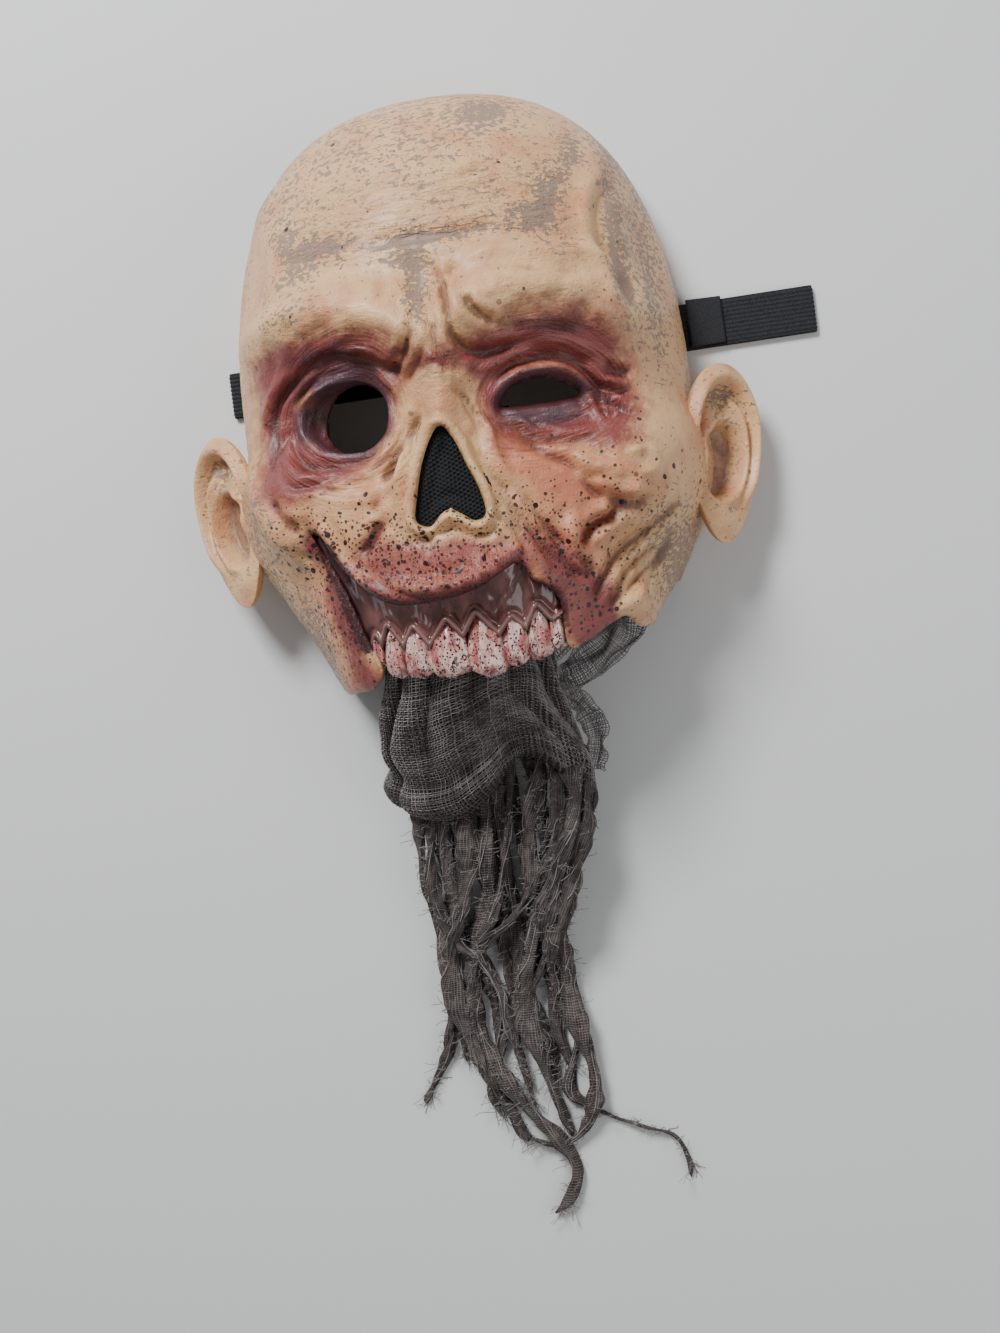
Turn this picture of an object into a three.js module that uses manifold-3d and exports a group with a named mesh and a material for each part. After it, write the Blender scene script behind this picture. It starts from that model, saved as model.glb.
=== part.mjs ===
// Half mask of a zombie, lying on its back, face up.
// Millimetres. +Z is up, out of the face, +Y runs to the crown, +X is the wearer's left.
// While the pieces are made, the origin is on the rim's plane, level with the eyes.
import * as THREE from "three";
import { mergeVertices } from "three/addons/utils/BufferGeometryUtils.js";
import Module from "manifold-3d";

const wasm = await Module();
wasm.setup();

// Driving dimensions
const HALF_WIDTH = 98; // head, from its middle to one side
const CROWN_RISE = 142; // eye line to crown
const JAW_DROP = 107; // eye line to the lowest point of the cheek flap
const FACE_DEPTH = 90; // rim to the front of the face, without the relief
const RELIEF_HEIGHT = 10; // rise of a form or roll of strength 1
const WALL = 2.6; // moulded skin
const FIT_GAP = 0.3; // clearance between pieces that touch
const SECTION_POWER = 2.2; // roundness of the head's level sections, 2 is an ellipse
const OUTLINE_POWER = 2.7; // roundness of the crown in front view
const PROFILE_POWER = 2.6; // roundness of the forehead in side view
const EAR_HEIGHT = 76;
const EAR_REACH = 38; // ear, from its root to its outer edge
const EAR_THICKNESS = 5;
const EAR_RELIEF = 3.2;
const EAR_TURN = 38; // degrees that the ear's plate turns back from the front
const EAR_LEAN = 9; // degrees that the top of the ear leans out
const EAR_UP = -0.22; // middle of the ear, a share of JAW_DROP
const EAR_ROOT_HEIGHT = 0.42; // root of the ear, a share of FACE_DEPTH
const EAR_ROOT_SINK = 12; // ear inside the side of the head
const EAR_PINCH = 0.22; // the ear is wider than its half reach above its middle by this share
const NOSE_CLOTH = 1.0; // thickness of the knit behind the nose hole
const NOSE_CLOTH_MARGIN = 8; // knit past the nose hole, all round
const GUM_THICKNESS = 2.4;
const TOOTH_DEPTH = 7.5;
const TOOTH_PROUD = 0.5; // teeth in front of the gum
const STRAP_WIDTH = 20;
const STRAP_THICKNESS = 1.2;
const STRAP_PLY_GAP = 0.9; // air between the two plies that lie on each other
const STRAP_LOOP_RIGHT = 56; // strap past the mask's side, on the long side
const STRAP_LOOP_LEFT = 7; // and on the short side
const FLOOR_GAP = 0.05; // soft pieces above the rim's plane
const STRAP_SEAT_LENGTH = 16; // strap that lies on the temple's inner wall
const STRAP_SEAT_SLACK = 0.3;
const STRAP_BEND = 3; // radius at the foot of the seat
const ARCH_CLEARANCE = 2.5; // rim above and beside the strap
const BEARD_LENGTH = 244; // jaw line to the tip of the longest strip
const STRIP_GIRTH = 11; // width of a twisted strip of gauze
const LOOP_GIRTH = 13; // width of the loose loop of gauze beside the teeth
const STRIP_SWAY = 2; // how far a strip wanders to each side

// Mesh steps
const SKIN_COLUMNS = 40;
const SKIN_FACE_ROWS = 37;
const SKIN_FOREHEAD_ROWS = 10;
const LINING_COLUMNS = 20;
const LINING_FACE_ROWS = 19;
const LINING_FOREHEAD_ROWS = 7;
const EAR_STEPS = 20;
const TOOTH_SIDES = 10;
const BUNCH_SIDES = 18;
const STRIP_SIDES = 6;
const STRIP_STEPS = 10;
const LOOP_STEPS = 12;
const SEAT_STEPS = 4;
const BEND_STEPS = 4;
const LOOP_END_STEPS = 6;

const BELOW_RIM = 6; // how far the solids run past the rim before it is cut
const JAW_OVERRUN = 1.1; // and past the jaw, as a share of JAW_DROP
const LINING_OVERRUN = 1.15; // the hollow runs a little further
const FOREHEAD_START = 0.38; // above this share of CROWN_RISE the rows open out
const COLUMN_SPREAD = [0.62, 0.38]; // columns are closer over the face than down the sides
const RELIEF_FADE = [0.12, 0.5]; // the relief ends between these shares of the depth

const table = (columns, rows) =>
  rows.map((row) => Object.fromEntries(columns.map((name, i) => [name, row[i]])));

// Every place on the face is a pair of shares: across, of HALF_WIDTH, and up,
// of CROWN_RISE above the eye line and of JAW_DROP below it.
const heightAt = (up) => (up > 0 ? up * CROWN_RISE : up * JAW_DROP);
const place = ([across, up]) => [across * HALF_WIDTH, heightAt(up)];

// Head sections below the eye line, at even drops: shares of the full width and depth.
const JAW_STEP = 0.2; // of JAW_DROP
const JAW_SECTIONS = table(
  ["width", "depth"],
  [
    [1, 1],
    [1.06, 1],
    [1.03, 0.985],
    [0.91, 0.97],
    [0.79, 0.955],
    [0.69, 0.94],
    [0.6, 0.92],
  ],
);

// Broad forms: reach along and across the turned axis are shares of HALF_WIDTH.
const FORMS = table(
  ["across", "up", "along", "over", "turn", "rise"],
  [
    [0.0, 0.05, 0.09, 0.28, 0, 0.95], // bridge of the nose
    [-0.02, -0.32, 0.23, 0.24, 0, 0.5], // round the nose hole
    [-0.43, 0.01, 0.25, 0.2, -8, -1.55], // left socket
    [0.39, -0.02, 0.27, 0.18, 5, -1.45], // right socket
    [-0.42, 0.01, 0.13, 0.12, 0, 0.5], // left eyelids
    [0.38, 0.0, 0.17, 0.1, 0, 0.7], // right eyelids
    [-0.76, -0.28, 0.2, 0.19, 20, 0.95], // left cheekbone
    [0.76, -0.3, 0.2, 0.2, -20, 1.05], // right cheekbone
    [-0.02, -0.6, 0.34, 0.18, 0, 0.45], // upper jaw
    [-0.66, -0.6, 0.12, 0.2, 0, -0.6], // left cheek hollow
    [0.62, -0.6, 0.13, 0.17, 0, -0.5], // right cheek hollow
    [-0.84, 0.42, 0.13, 0.3, 0, -0.5], // left temple
    [0.86, 0.38, 0.12, 0.34, 0, -0.6], // right temple
    [0.0, 0.62, 0.5, 0.3, 0, 0.25], // forehead
    [-0.02, 0.28, 0.07, 0.17, 0, -0.5], // between the brows
    [0.66, -0.79, 0.09, 0.08, 0, 0.5], // stub of the jaw
  ],
);

// Rolls that both faces of the wall follow.
const ROLLS = table(
  ["reach", "rise", "line"],
  [
    // Brows
    [0.12, 1.05, [[-0.79, 0.3], [-0.58, 0.31], [-0.4, 0.29], [-0.23, 0.25], [-0.12, 0.2]]],
    [0.12, 1.05, [[0.14, 0.23], [0.28, 0.27], [0.45, 0.27], [0.62, 0.25], [0.73, 0.19]]],
    // Temple lines
    [0.07, 0.3, [[-0.81, 0.79], [-0.73, 0.65], [-0.63, 0.54], [-0.67, 0.42]]],
    [0.07, 0.3, [[0.73, 0.7], [0.71, 0.56], [0.69, 0.46], [0.73, 0.37], [0.79, 0.24]]],
    // Cheek flap, lip, rim of the nose hole
    [0.08, 0.35, [[-0.65, -0.62], [-0.61, -0.77], [-0.58, -0.93]]],
    [0.05, 0.25, [[-0.45, -0.62], [-0.32, -0.65], [-0.16, -0.67], [0.0, -0.66], [0.12, -0.63],
      [0.21, -0.58]]],
    [0.05, 0.3, [[-0.19, -0.43], [-0.12, -0.21], [-0.02, -0.06], [0.09, -0.21], [0.15, -0.45]]],
  ],
);

// Furrows and ridges of the outer face alone.
const CREASES = table(
  ["reach", "rise", "line"],
  [
    // Forehead
    [0.04, -0.14, [[-0.22, 0.45], [0.02, 0.44], [0.18, 0.44], [0.41, 0.46]]],
    // Left and right of the bridge, and of the nose hole
    [0.035, -0.14, [[-0.09, 0.32], [-0.1, 0.23], [-0.13, 0.15]]],
    [0.035, -0.14, [[0.12, 0.32], [0.14, 0.26], [0.19, 0.2]]],
    [0.04, -0.15, [[-0.19, -0.21], [-0.26, -0.32], [-0.33, -0.42], [-0.4, -0.49]]],
    [0.04, -0.15, [[0.15, -0.16], [0.19, -0.31], [0.31, -0.48], [0.42, -0.67], [0.47, -0.8]]],
    // Left and right lids
    [0.035, 0.13, [[-0.61, 0.04], [-0.53, 0.12], [-0.39, 0.13], [-0.26, 0.08], [-0.22, -0.02],
      [-0.3, -0.12], [-0.45, -0.15], [-0.58, -0.09], [-0.61, 0.04]]],
    [0.035, 0.13, [[0.17, -0.04], [0.22, 0.04], [0.34, 0.07], [0.45, 0.07], [0.55, 0.01], [0.61, -0.07]]],
    // Bags under the left and right eye
    [0.035, -0.13, [[-0.67, -0.07], [-0.61, -0.19], [-0.49, -0.25], [-0.35, -0.23], [-0.24, -0.16]]],
    [0.035, -0.13, [[0.18, -0.07], [0.24, -0.16], [0.37, -0.21], [0.51, -0.21], [0.61, -0.15]]],
    // Right cheek: inner and outer strand, wound
    [0.03, -0.15, [[0.79, -0.5], [0.67, -0.62], [0.56, -0.74], [0.49, -0.84]]],
    [0.03, -0.15, [[0.91, -0.49], [0.8, -0.64], [0.68, -0.79]]],
    [0.025, -0.14, [[0.61, -0.47], [0.54, -0.51], [0.5, -0.57], [0.48, -0.64]]],
  ],
);

// Outlines cut straight through the wall, as places on the face.
const LEFT_EYE = [[-0.55, 0.01], [-0.5, 0.07], [-0.41, 0.09], [-0.32, 0.08], [-0.27, 0.03],
  [-0.28, -0.04], [-0.34, -0.09], [-0.43, -0.09], [-0.51, -0.05]];
const RIGHT_EYE = [[0.22, -0.03], [0.26, 0.02], [0.34, 0.04], [0.42, 0.04], [0.49, 0.02],
  [0.53, -0.01], [0.47, -0.03], [0.37, -0.04], [0.28, -0.04]];
const NOSE = [[-0.02, -0.1], [0.03, -0.15], [0.06, -0.24], [0.1, -0.34], [0.11, -0.42],
  [0.07, -0.44], [0.02, -0.41], [-0.02, -0.39], [-0.06, -0.4], [-0.11, -0.44], [-0.16, -0.41],
  [-0.14, -0.32], [-0.11, -0.22], [-0.07, -0.14]];
// Lower edge from the left side, round the cheek flap, up the slit, along the lip and to the right side.
const LOWER_EDGE = [[-1.4, -0.93], [-0.77, -0.96], [-0.67, -1.0], [-0.56, -1.0], [-0.47, -0.99],
  [-0.42, -0.93], [-0.45, -0.79], [-0.47, -0.69], [-0.52, -0.59], [-0.62, -0.4], [-0.56, -0.46],
  [-0.48, -0.57], [-0.42, -0.64], [-0.32, -0.69], [-0.16, -0.71], [0.0, -0.7], [0.12, -0.66],
  [0.21, -0.61], [0.25, -0.67], [0.3, -0.7], [0.35, -0.76], [0.36, -0.92], [0.42, -0.92],
  [0.48, -0.89], [0.56, -0.85], [0.61, -0.84], [0.67, -0.86], [0.75, -0.83], [1.4, -0.78]];

// Ear rings from the hollow to the edge: radius is a share of the outline, rise of EAR_RELIEF.
const EAR_RINGS = table(
  ["radius", "rise"],
  [
    [0.28, -1.1],
    [0.48, 0.35],
    [0.66, -0.5],
    [0.84, 0.9],
    [1.0, 0.2],
  ],
);

// And from the edge to the middle of the back: depth of EAR_THICKNESS.
const EAR_BACK_RINGS = table(
  ["radius", "depth"],
  [
    [0.86, 0.7],
    [0.4, 1],
  ],
);

// Teeth: edges are shares of HALF_WIDTH, the tip of JAW_DROP.
const TEETH = table(
  ["left", "right", "tip"],
  [
    [-0.45, -0.385, -0.91],
    [-0.39, -0.29, -0.955],
    [-0.3, -0.18, -0.965],
    [-0.19, -0.035, -0.98],
    [-0.045, 0.105, -0.99],
    [0.095, 0.2, -0.965],
    [0.19, 0.29, -0.955],
    [0.28, 0.35, -0.925],
  ],
);
const TOOTH_ROOT = -0.72; // hidden top of the teeth, a share of JAW_DROP
// Tooth sections: way from root to tip, and shares of the tooth's width and of TOOTH_DEPTH.
const TOOTH_SECTIONS = table(
  ["way", "width", "depth"],
  [
    [0, 0.9, 0.5],
    [0.4, 0.96, 0.66],
    [0.62, 1.06, 1.0],
    [0.88, 1.06, 0.92],
    [1, 0.72, 0.5],
  ],
);
// Gum: its part behind the slit, its scalloped lower edge and its hidden top, as places on the face.
const GUM_EDGE = [[-0.42, -0.58], [-0.49, -0.48], [-0.56, -0.38], [-0.66, -0.37], [-0.66, -0.45],
  [-0.57, -0.62], [-0.53, -0.75], [-0.5, -0.84], [-0.45, -0.86], [-0.42, -0.81], [-0.4, -0.84],
  [-0.36, -0.78], [-0.3, -0.85], [-0.25, -0.81], [-0.19, -0.87], [-0.11, -0.79], [-0.04, -0.85],
  [0.02, -0.79], [0.1, -0.86], [0.15, -0.81], [0.2, -0.83], [0.25, -0.78], [0.29, -0.82],
  [0.35, -0.81], [0.34, -0.6]];

// Bunch of gauze: drop is a share of BEARD_LENGTH below the jaw, across and half are shares of
// HALF_WIDTH, height and deep of FACE_DEPTH.
const BUNCH_SECTIONS = table(
  ["drop", "across", "half", "height", "deep"],
  [
    [-0.09, -0.06, 0.3, 0.72, 0.12],
    [-0.04, -0.1, 0.33, 0.675, 0.11],
    [0.03, -0.13, 0.37, 0.577, 0.142],
    [0.1, -0.14, 0.39, 0.414, 0.163],
    [0.17, -0.15, 0.38, 0.272, 0.163],
    [0.24, -0.19, 0.31, 0.163, 0.131],
    [0.3, -0.12, 0.26, 0.109, 0.098],
  ],
);
// Strips of gauze: across at the root, at each third and at the tip, as shares of HALF_WIDTH.
// Start and end are shares of BEARD_LENGTH, girth and lift above the floor of STRIP_GIRTH.
const STRIPS = table(
  ["root", "third", "twoThirds", "tip", "start", "end", "girth", "lift"],
  [
    [-0.44, -0.45, -0.46, -0.58, 0.14, 0.77, 0.8, 0.0],
    [-0.36, -0.38, -0.3, -0.2, 0.16, 0.85, 0.9, 0.5],
    [-0.3, -0.37, -0.2, -0.1, 0.18, 1.0, 1.0, 0.0],
    [-0.2, -0.24, -0.32, -0.34, 0.2, 0.73, 0.85, 0.8],
    [-0.12, -0.2, -0.1, 0.05, 0.2, 0.91, 1.0, 0.1],
    [-0.04, -0.14, -0.2, -0.06, 0.16, 0.7, 0.9, 1.1],
    [0.0, -0.06, -0.02, 0.12, 0.2, 0.86, 1.0, 0.6],
    [0.1, -0.02, 0.04, 0.2, 0.16, 0.81, 0.95, 0.0],
    [0.14, 0.06, 0.12, 0.34, 0.12, 0.86, 0.8, 0.9],
    [0.2, 0.14, 0.06, 0.14, 0.1, 0.74, 0.9, 0.4],
    [0.26, 0.18, 0.16, 0.55, 0.1, 0.95, 0.85, 0.0],
    [0.22, 0.31, 0.16, 0.06, 0.02, 0.55, 0.9, 1.0],
  ],
);
// Loose loop of gauze: across and up from the jaw line, as shares of HALF_WIDTH, and height, as a
// share of FACE_DEPTH.
const GAUZE_LOOP = [[0.12, -0.06, 0.566], [0.32, -0.04, 0.5], [0.48, 0.04, 0.457],
  [0.57, 0.14, 0.414], [0.55, 0.24, 0.414], [0.42, 0.2, 0.48], [0.24, 0.12, 0.588]];

const ARCH_UP = -0.88; // height at which the teeth's arch follows the face
const ARCH_REACH = 0.62; // half width of the arch, a share of HALF_WIDTH
const ARCH_STEPS = 16;
const BUNCH_FOLD = 0.22; // depth of the bunch's folds, a share of its own depth
const BUNCH_FOLDS = 6;
const BUNCH_FOLD_SHIFT = 0.5; // how far the folds turn from one section to the next, in radians
const BUNCH_FOLD_PULL = 0.15; // a fold also draws the sides in by this share of its depth
const BUNCH_TOP_END = 1.03; // the bunch keeps behind the teeth down to here, a share of JAW_DROP
const STRIP_FLATNESS = 0.7; // thickness over width
const STRIP_TAPER = 0.6; // share of the girth that is lost from TAPER_START to the tip
const TAPER_START = 0.6; // share of the strip's length
const STRIP_TWIST = 7; // radians that a strip turns over its length
const STRIP_WAVES = 9; // radians of its sway over its length
const STRIP_WAVE_SHIFT = 2; // and from one strip to the next

const STRAP_UP = 0.23; // middle of the strap, a share of CROWN_RISE above the eye line
const STRAP_SEAT_HEIGHT = 0.11; // lower end of the strap's seat on the wall, a share of FACE_DEPTH

// Solids

function solidFromLists(points, faces) {
  const vertProperties = new Float32Array(points.flat());
  const triVerts = new Uint32Array(faces.flat());
  return new wasm.Manifold(new wasm.Mesh({ numProp: 3, vertProperties, triVerts }));
}

function solidFromGeometry(geometry) {
  geometry.deleteAttribute("normal");
  geometry.deleteAttribute("uv");
  const merged = mergeVertices(geometry, 1e-4);
  const vertProperties = new Float32Array(merged.attributes.position.array);
  const triVerts = new Uint32Array(merged.index.array);
  return new wasm.Manifold(new wasm.Mesh({ numProp: 3, vertProperties, triVerts }));
}

function meshOf(name, solid, material) {
  const { vertProperties, triVerts } = solid.getMesh();
  const geometry = new THREE.BufferGeometry();
  geometry.setAttribute("position", new THREE.BufferAttribute(new Float32Array(vertProperties), 3));
  geometry.setIndex(new THREE.BufferAttribute(new Uint32Array(triVerts), 1));
  geometry.computeVertexNormals();
  const mesh = new THREE.Mesh(geometry, material);
  mesh.name = name;
  return mesh;
}

const union = (solids) => solids.reduce((sum, solid) => sum.add(solid));

// A closed solid through rings of equal length, with a fan at each end.
function loftRings(rings) {
  const points = rings.flat();
  const sides = rings[0].length;
  const faces = [];
  for (let ring = 0; ring + 1 < rings.length; ring += 1) {
    for (let side = 0; side < sides; side += 1) {
      const next = (side + 1) % sides;
      const a = ring * sides + side;
      const b = ring * sides + next;
      faces.push([a, b, b + sides], [a, b + sides, a + sides]);
    }
  }
  const middle = (ring) => [0, 1, 2].map((axis) => ring.reduce((sum, p) => sum + p[axis], 0) / sides);
  const first = points.length;
  points.push(middle(rings[0]), middle(rings[rings.length - 1]));
  const last = (rings.length - 1) * sides;
  for (let side = 0; side < sides; side += 1) {
    const next = (side + 1) % sides;
    faces.push([first, next, side], [first + 1, last + side, last + next]);
  }
  const solid = solidFromLists(points, faces);
  return solid.volume() < 0 ? solidFromLists(points, faces.map(([a, b, c]) => [a, c, b])) : solid;
}

// A prism along Z over an outline of [x, y] points.
function prism(outline, bottom, top) {
  const shape = new THREE.Shape(outline.map(([x, y]) => new THREE.Vector2(x, y)));
  const geometry = new THREE.ExtrudeGeometry(shape, { depth: top - bottom, bevelEnabled: false });
  geometry.translate(0, 0, bottom);
  return solidFromGeometry(geometry);
}

// A prism along Y over an outline of [x, z] points.
function prismAlongY(outline, low, high) {
  const shape = new THREE.Shape(outline.map(([x, z]) => new THREE.Vector2(x, z)));
  const geometry = new THREE.ExtrudeGeometry(shape, { depth: high - low, bevelEnabled: false });
  geometry.rotateX(Math.PI / 2);
  geometry.translate(0, high, 0);
  return solidFromGeometry(geometry);
}

const squareOutline = (halfWidth, halfLength) => [
  [-halfWidth, -halfLength],
  [halfWidth, -halfLength],
  [halfWidth, halfLength],
  [-halfWidth, halfLength],
];

// A smooth closed outline through places on the face.
function roundOutline(places, steps = 22) {
  const knots = places.map(place).map(([x, y]) => new THREE.Vector3(x, y, 0));
  const curve = new THREE.CatmullRomCurve3(knots, true, "centripetal");
  return curve.getPoints(steps).slice(0, steps).map((p) => [p.x, p.y]);
}

// Moves each point of an open line sideways, to its left.
function offsetLine(points, distance) {
  return points.map((point, i) => {
    const before = points[Math.max(i - 1, 0)];
    const after = points[Math.min(i + 1, points.length - 1)];
    const along = new THREE.Vector2(after[0] - before[0], after[1] - before[1]).normalize();
    return [point[0] - along.y * distance, point[1] + along.x * distance];
  });
}

// Face surface

// A cubic through evenly spaced rows of a table.
function smoothBetween(rows, key, at) {
  const i = THREE.MathUtils.clamp(Math.floor(at), 0, rows.length - 2);
  const t = at - i;
  const value = (step) => rows[THREE.MathUtils.clamp(i + step, 0, rows.length - 1)][key];
  const slope = (value(1) - value(-1)) / 2;
  const nextSlope = (value(2) - value(0)) / 2;
  const rise = value(1) - value(0);
  return value(0) + slope * t + (3 * rise - 2 * slope - nextSlope) * t * t
    + (slope + nextSlope - 2 * rise) * t * t * t;
}

const domeShare = (share, power) => Math.max(0, 1 - Math.min(1, share) ** power) ** (1 / power);

// Half width and depth of the head at a height, for a surface that lies inset in the wall.
function sectionAt(y, inset) {
  if (y > 0) {
    const share = y / (CROWN_RISE - inset);
    return {
      width: (HALF_WIDTH - inset) * domeShare(share, OUTLINE_POWER),
      depth: (FACE_DEPTH - inset) * domeShare(share, PROFILE_POWER),
    };
  }
  const drop = -y / (JAW_DROP * JAW_STEP);
  return {
    width: HALF_WIDTH * smoothBetween(JAW_SECTIONS, "width", drop) - inset,
    depth: FACE_DEPTH * smoothBetween(JAW_SECTIONS, "depth", drop) - inset,
  };
}

function distanceToLine(x, y, line) {
  let nearest = Infinity;
  for (let i = 0; i + 1 < line.length; i += 1) {
    const [ax, ay] = line[i];
    const [bx, by] = line[i + 1];
    const length = (bx - ax) ** 2 + (by - ay) ** 2;
    const share = THREE.MathUtils.clamp(((x - ax) * (bx - ax) + (y - ay) * (by - ay)) / length, 0, 1);
    nearest = Math.min(nearest, Math.hypot(x - ax - share * (bx - ax), y - ay - share * (by - ay)));
  }
  return nearest;
}

const inPlace = (rows) => rows.map((row) => ({ ...row, line: row.line.map(place) }));
const rolls = inPlace(ROLLS);
const creases = inPlace(CREASES);
const forms = FORMS.map((row) => {
  const [x, y] = place([row.across, row.up]);
  const turn = THREE.MathUtils.degToRad(row.turn);
  return { ...row, x, y, cos: Math.cos(turn), sin: Math.sin(turn) };
});

const linesRise = (rows, x, y) =>
  rows.reduce((sum, row) => {
    const share = distanceToLine(x, y, row.line) / (row.reach * HALF_WIDTH);
    return sum + row.rise * Math.exp(-share * share);
  }, 0);

function reliefAt(x, y, withCreases) {
  let rise = linesRise(rolls, x, y);
  for (const form of forms) {
    const dx = x - form.x;
    const dy = y - form.y;
    const along = (dx * form.cos + dy * form.sin) / (form.along * HALF_WIDTH);
    const over = (dy * form.cos - dx * form.sin) / (form.over * HALF_WIDTH);
    rise += form.rise * Math.exp(-along * along - over * over);
  }
  if (withCreases) rise += linesRise(creases, x, y);
  return rise * RELIEF_HEIGHT;
}

// The relief fades out down the sides, so the rim stays flat.
const sideFade = (share) => THREE.MathUtils.smoothstep(share, ...RELIEF_FADE);

// Height of the face over a place in front view, on a surface inset in the wall.
function faceHeight(x, y, inset) {
  const { width, depth } = sectionAt(y, inset);
  const share = domeShare(Math.abs(x) / width, SECTION_POWER);
  return depth * share + reliefAt(x, y, false) * sideFade(share);
}

// A closed solid under the face surface, that goes down past the rim's plane to a bottom.
function headSolid({ inset, columns, faceRows, foreheadRows, bottom, drop, withCreases }) {
  const crown = CROWN_RISE - inset;
  const low = -drop * JAW_DROP;
  const heights = [];
  for (let row = 0; row <= faceRows; row += 1) {
    heights.push(low + ((FOREHEAD_START * CROWN_RISE - low) * row) / faceRows);
  }
  const start = FOREHEAD_START * CROWN_RISE;
  for (let row = 1; row < foreheadRows; row += 1) {
    heights.push(start + (crown - start) * Math.sin((Math.PI / 2) * (row / foreheadRows)));
  }
  const rings = heights.map((y) => {
    const { width, depth } = sectionAt(y, inset);
    const ring = [[-width, y, bottom]];
    for (let column = 0; column <= columns; column += 1) {
      const side = (2 * column) / columns - 1;
      const angle = (Math.PI / 2) * (COLUMN_SPREAD[0] * side + COLUMN_SPREAD[1] * side ** 3);
      const x = width * Math.sign(side) * Math.abs(Math.sin(angle)) ** (2 / SECTION_POWER);
      const share = Math.abs(side) === 1 ? 0 : Math.cos(angle) ** (2 / SECTION_POWER);
      ring.push([x, y, depth * share + reliefAt(x, y, withCreases) * sideFade(share)]);
    }
    ring.push([width, y, bottom]);
    return ring;
  });
  return loftRings(rings);
}

const headOuter = headSolid({
  inset: 0,
  columns: SKIN_COLUMNS,
  faceRows: SKIN_FACE_ROWS,
  foreheadRows: SKIN_FOREHEAD_ROWS,
  bottom: -BELOW_RIM,
  drop: JAW_OVERRUN,
  withCreases: true,
});

const lining = (inset) => headSolid({
  inset,
  columns: LINING_COLUMNS,
  faceRows: LINING_FACE_ROWS,
  foreheadRows: LINING_FOREHEAD_ROWS,
  bottom: -2 * BELOW_RIM,
  drop: LINING_OVERRUN,
  withCreases: false,
});
const hollow = lining(WALL);
const fittedHollow = lining(WALL + FIT_GAP);
const belowFloor = prism(squareOutline(2 * HALF_WIDTH, CROWN_RISE + BEARD_LENGTH), -4 * BELOW_RIM, 0);

// Everything below the lower edge, which is moved down by a clearance.
function belowLowerEdge(clearance) {
  const line = offsetLine(LOWER_EDGE.map(place), -clearance);
  const floor = -2 * JAW_DROP;
  const outline = [[line[0][0], floor], ...line, [line[line.length - 1][0], floor]];
  return prism(outline.reverse(), -3 * BELOW_RIM, 2 * FACE_DEPTH);
}

// Ears

// The ear's plate turns back about its root, and leans out at the top.
function earSolid(side) {
  const turn = THREE.MathUtils.degToRad(EAR_TURN);
  const lean = THREE.MathUtils.degToRad(EAR_LEAN);
  const rootY = EAR_UP * JAW_DROP;
  const root = [sectionAt(rootY, 0).width - EAR_ROOT_SINK, rootY, EAR_ROOT_HEIGHT * FACE_DEPTH];
  const placed = (out, up, front) => {
    const leanOut = out * Math.cos(lean) + up * Math.sin(lean);
    const leanUp = up * Math.cos(lean) - out * Math.sin(lean);
    const x = root[0] + leanOut * Math.cos(turn) + front * Math.sin(turn);
    return [side * x, root[1] + leanUp, root[2] - leanOut * Math.sin(turn) + front * Math.cos(turn)];
  };
  const ring = (radius, front) => {
    const points = [];
    for (let step = 0; step < EAR_STEPS; step += 1) {
      const angle = (2 * Math.PI * step) / EAR_STEPS;
      // The outline is wider above its middle, and pinched to the lobe.
      const reach = (EAR_REACH / 2) * (1 + EAR_PINCH * Math.sin(angle));
      const out = EAR_REACH / 2 + radius * reach * Math.cos(angle);
      points.push(placed(out, (radius * EAR_HEIGHT * Math.sin(angle)) / 2, front));
    }
    return points;
  };
  const front = EAR_RINGS.map((row) => ring(row.radius, row.rise * EAR_RELIEF));
  const back = EAR_BACK_RINGS.map((row) => ring(row.radius, -row.depth * EAR_THICKNESS));
  return loftRings([...front, ...back]);
}

// Mask shell: skin and ears are one moulding.
function shellSolid() {
  const holes = [roundOutline(LEFT_EYE), roundOutline(RIGHT_EYE), NOSE.map(place)];
  const cutters = holes.map((outline) => prism(outline, FACE_DEPTH / 3, 2 * FACE_DEPTH));
  cutters.push(hollow, belowFloor, belowLowerEdge(0), strapArch());
  const skin = union([headOuter, earSolid(-1), earSolid(1)]);
  return cutters.reduce((left, cutter) => left.subtract(cutter), skin);
}

// The strap passes under the rim at both temples.
function strapArch() {
  const half = STRAP_WIDTH / 2 + ARCH_CLEARANCE;
  const middle = STRAP_UP * CROWN_RISE;
  const top = 2 * STRAP_THICKNESS + STRAP_PLY_GAP + ARCH_CLEARANCE;
  const reach = 2 * HALF_WIDTH;
  const outline = [[-reach, -BELOW_RIM], [reach, -BELOW_RIM], [reach, top], [-reach, top]];
  return prismAlongY(outline, middle - half, middle + half);
}

// The wall, grown by the fit gap: what lies against the mask is cut by it.
const keepOut = headOuter.subtract(fittedHollow).subtract(belowLowerEdge(FIT_GAP)).subtract(strapArch());

// Nose cloth: a layer of the hollow's surface, behind the nose hole.
function noseClothSolid() {
  const places = NOSE.map(place);
  const reach = Math.max(...places.map(([x]) => Math.abs(x))) + NOSE_CLOTH_MARGIN;
  const low = Math.min(...places.map(([, y]) => y)) - NOSE_CLOTH_MARGIN;
  const high = Math.max(...places.map(([, y]) => y)) + NOSE_CLOTH_MARGIN;
  const outline = [[-reach, low], [reach, low], [reach, high], [-reach, high]];
  const patch = prism(outline, FACE_DEPTH / 2, 2 * FACE_DEPTH);
  return patch.intersect(fittedHollow).subtract(lining(WALL + FIT_GAP + NOSE_CLOTH));
}

// Gum: a layer behind the lip, with a scalloped lower edge.
function gumSolid(grown) {
  const layer = lining(WALL + FIT_GAP - grown).subtract(lining(WALL + FIT_GAP + GUM_THICKNESS + grown));
  const outline = offsetLine(GUM_EDGE.map(place), -grown);
  return prism(outline, FACE_DEPTH / 3, 2 * FACE_DEPTH).intersect(layer);
}

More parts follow.
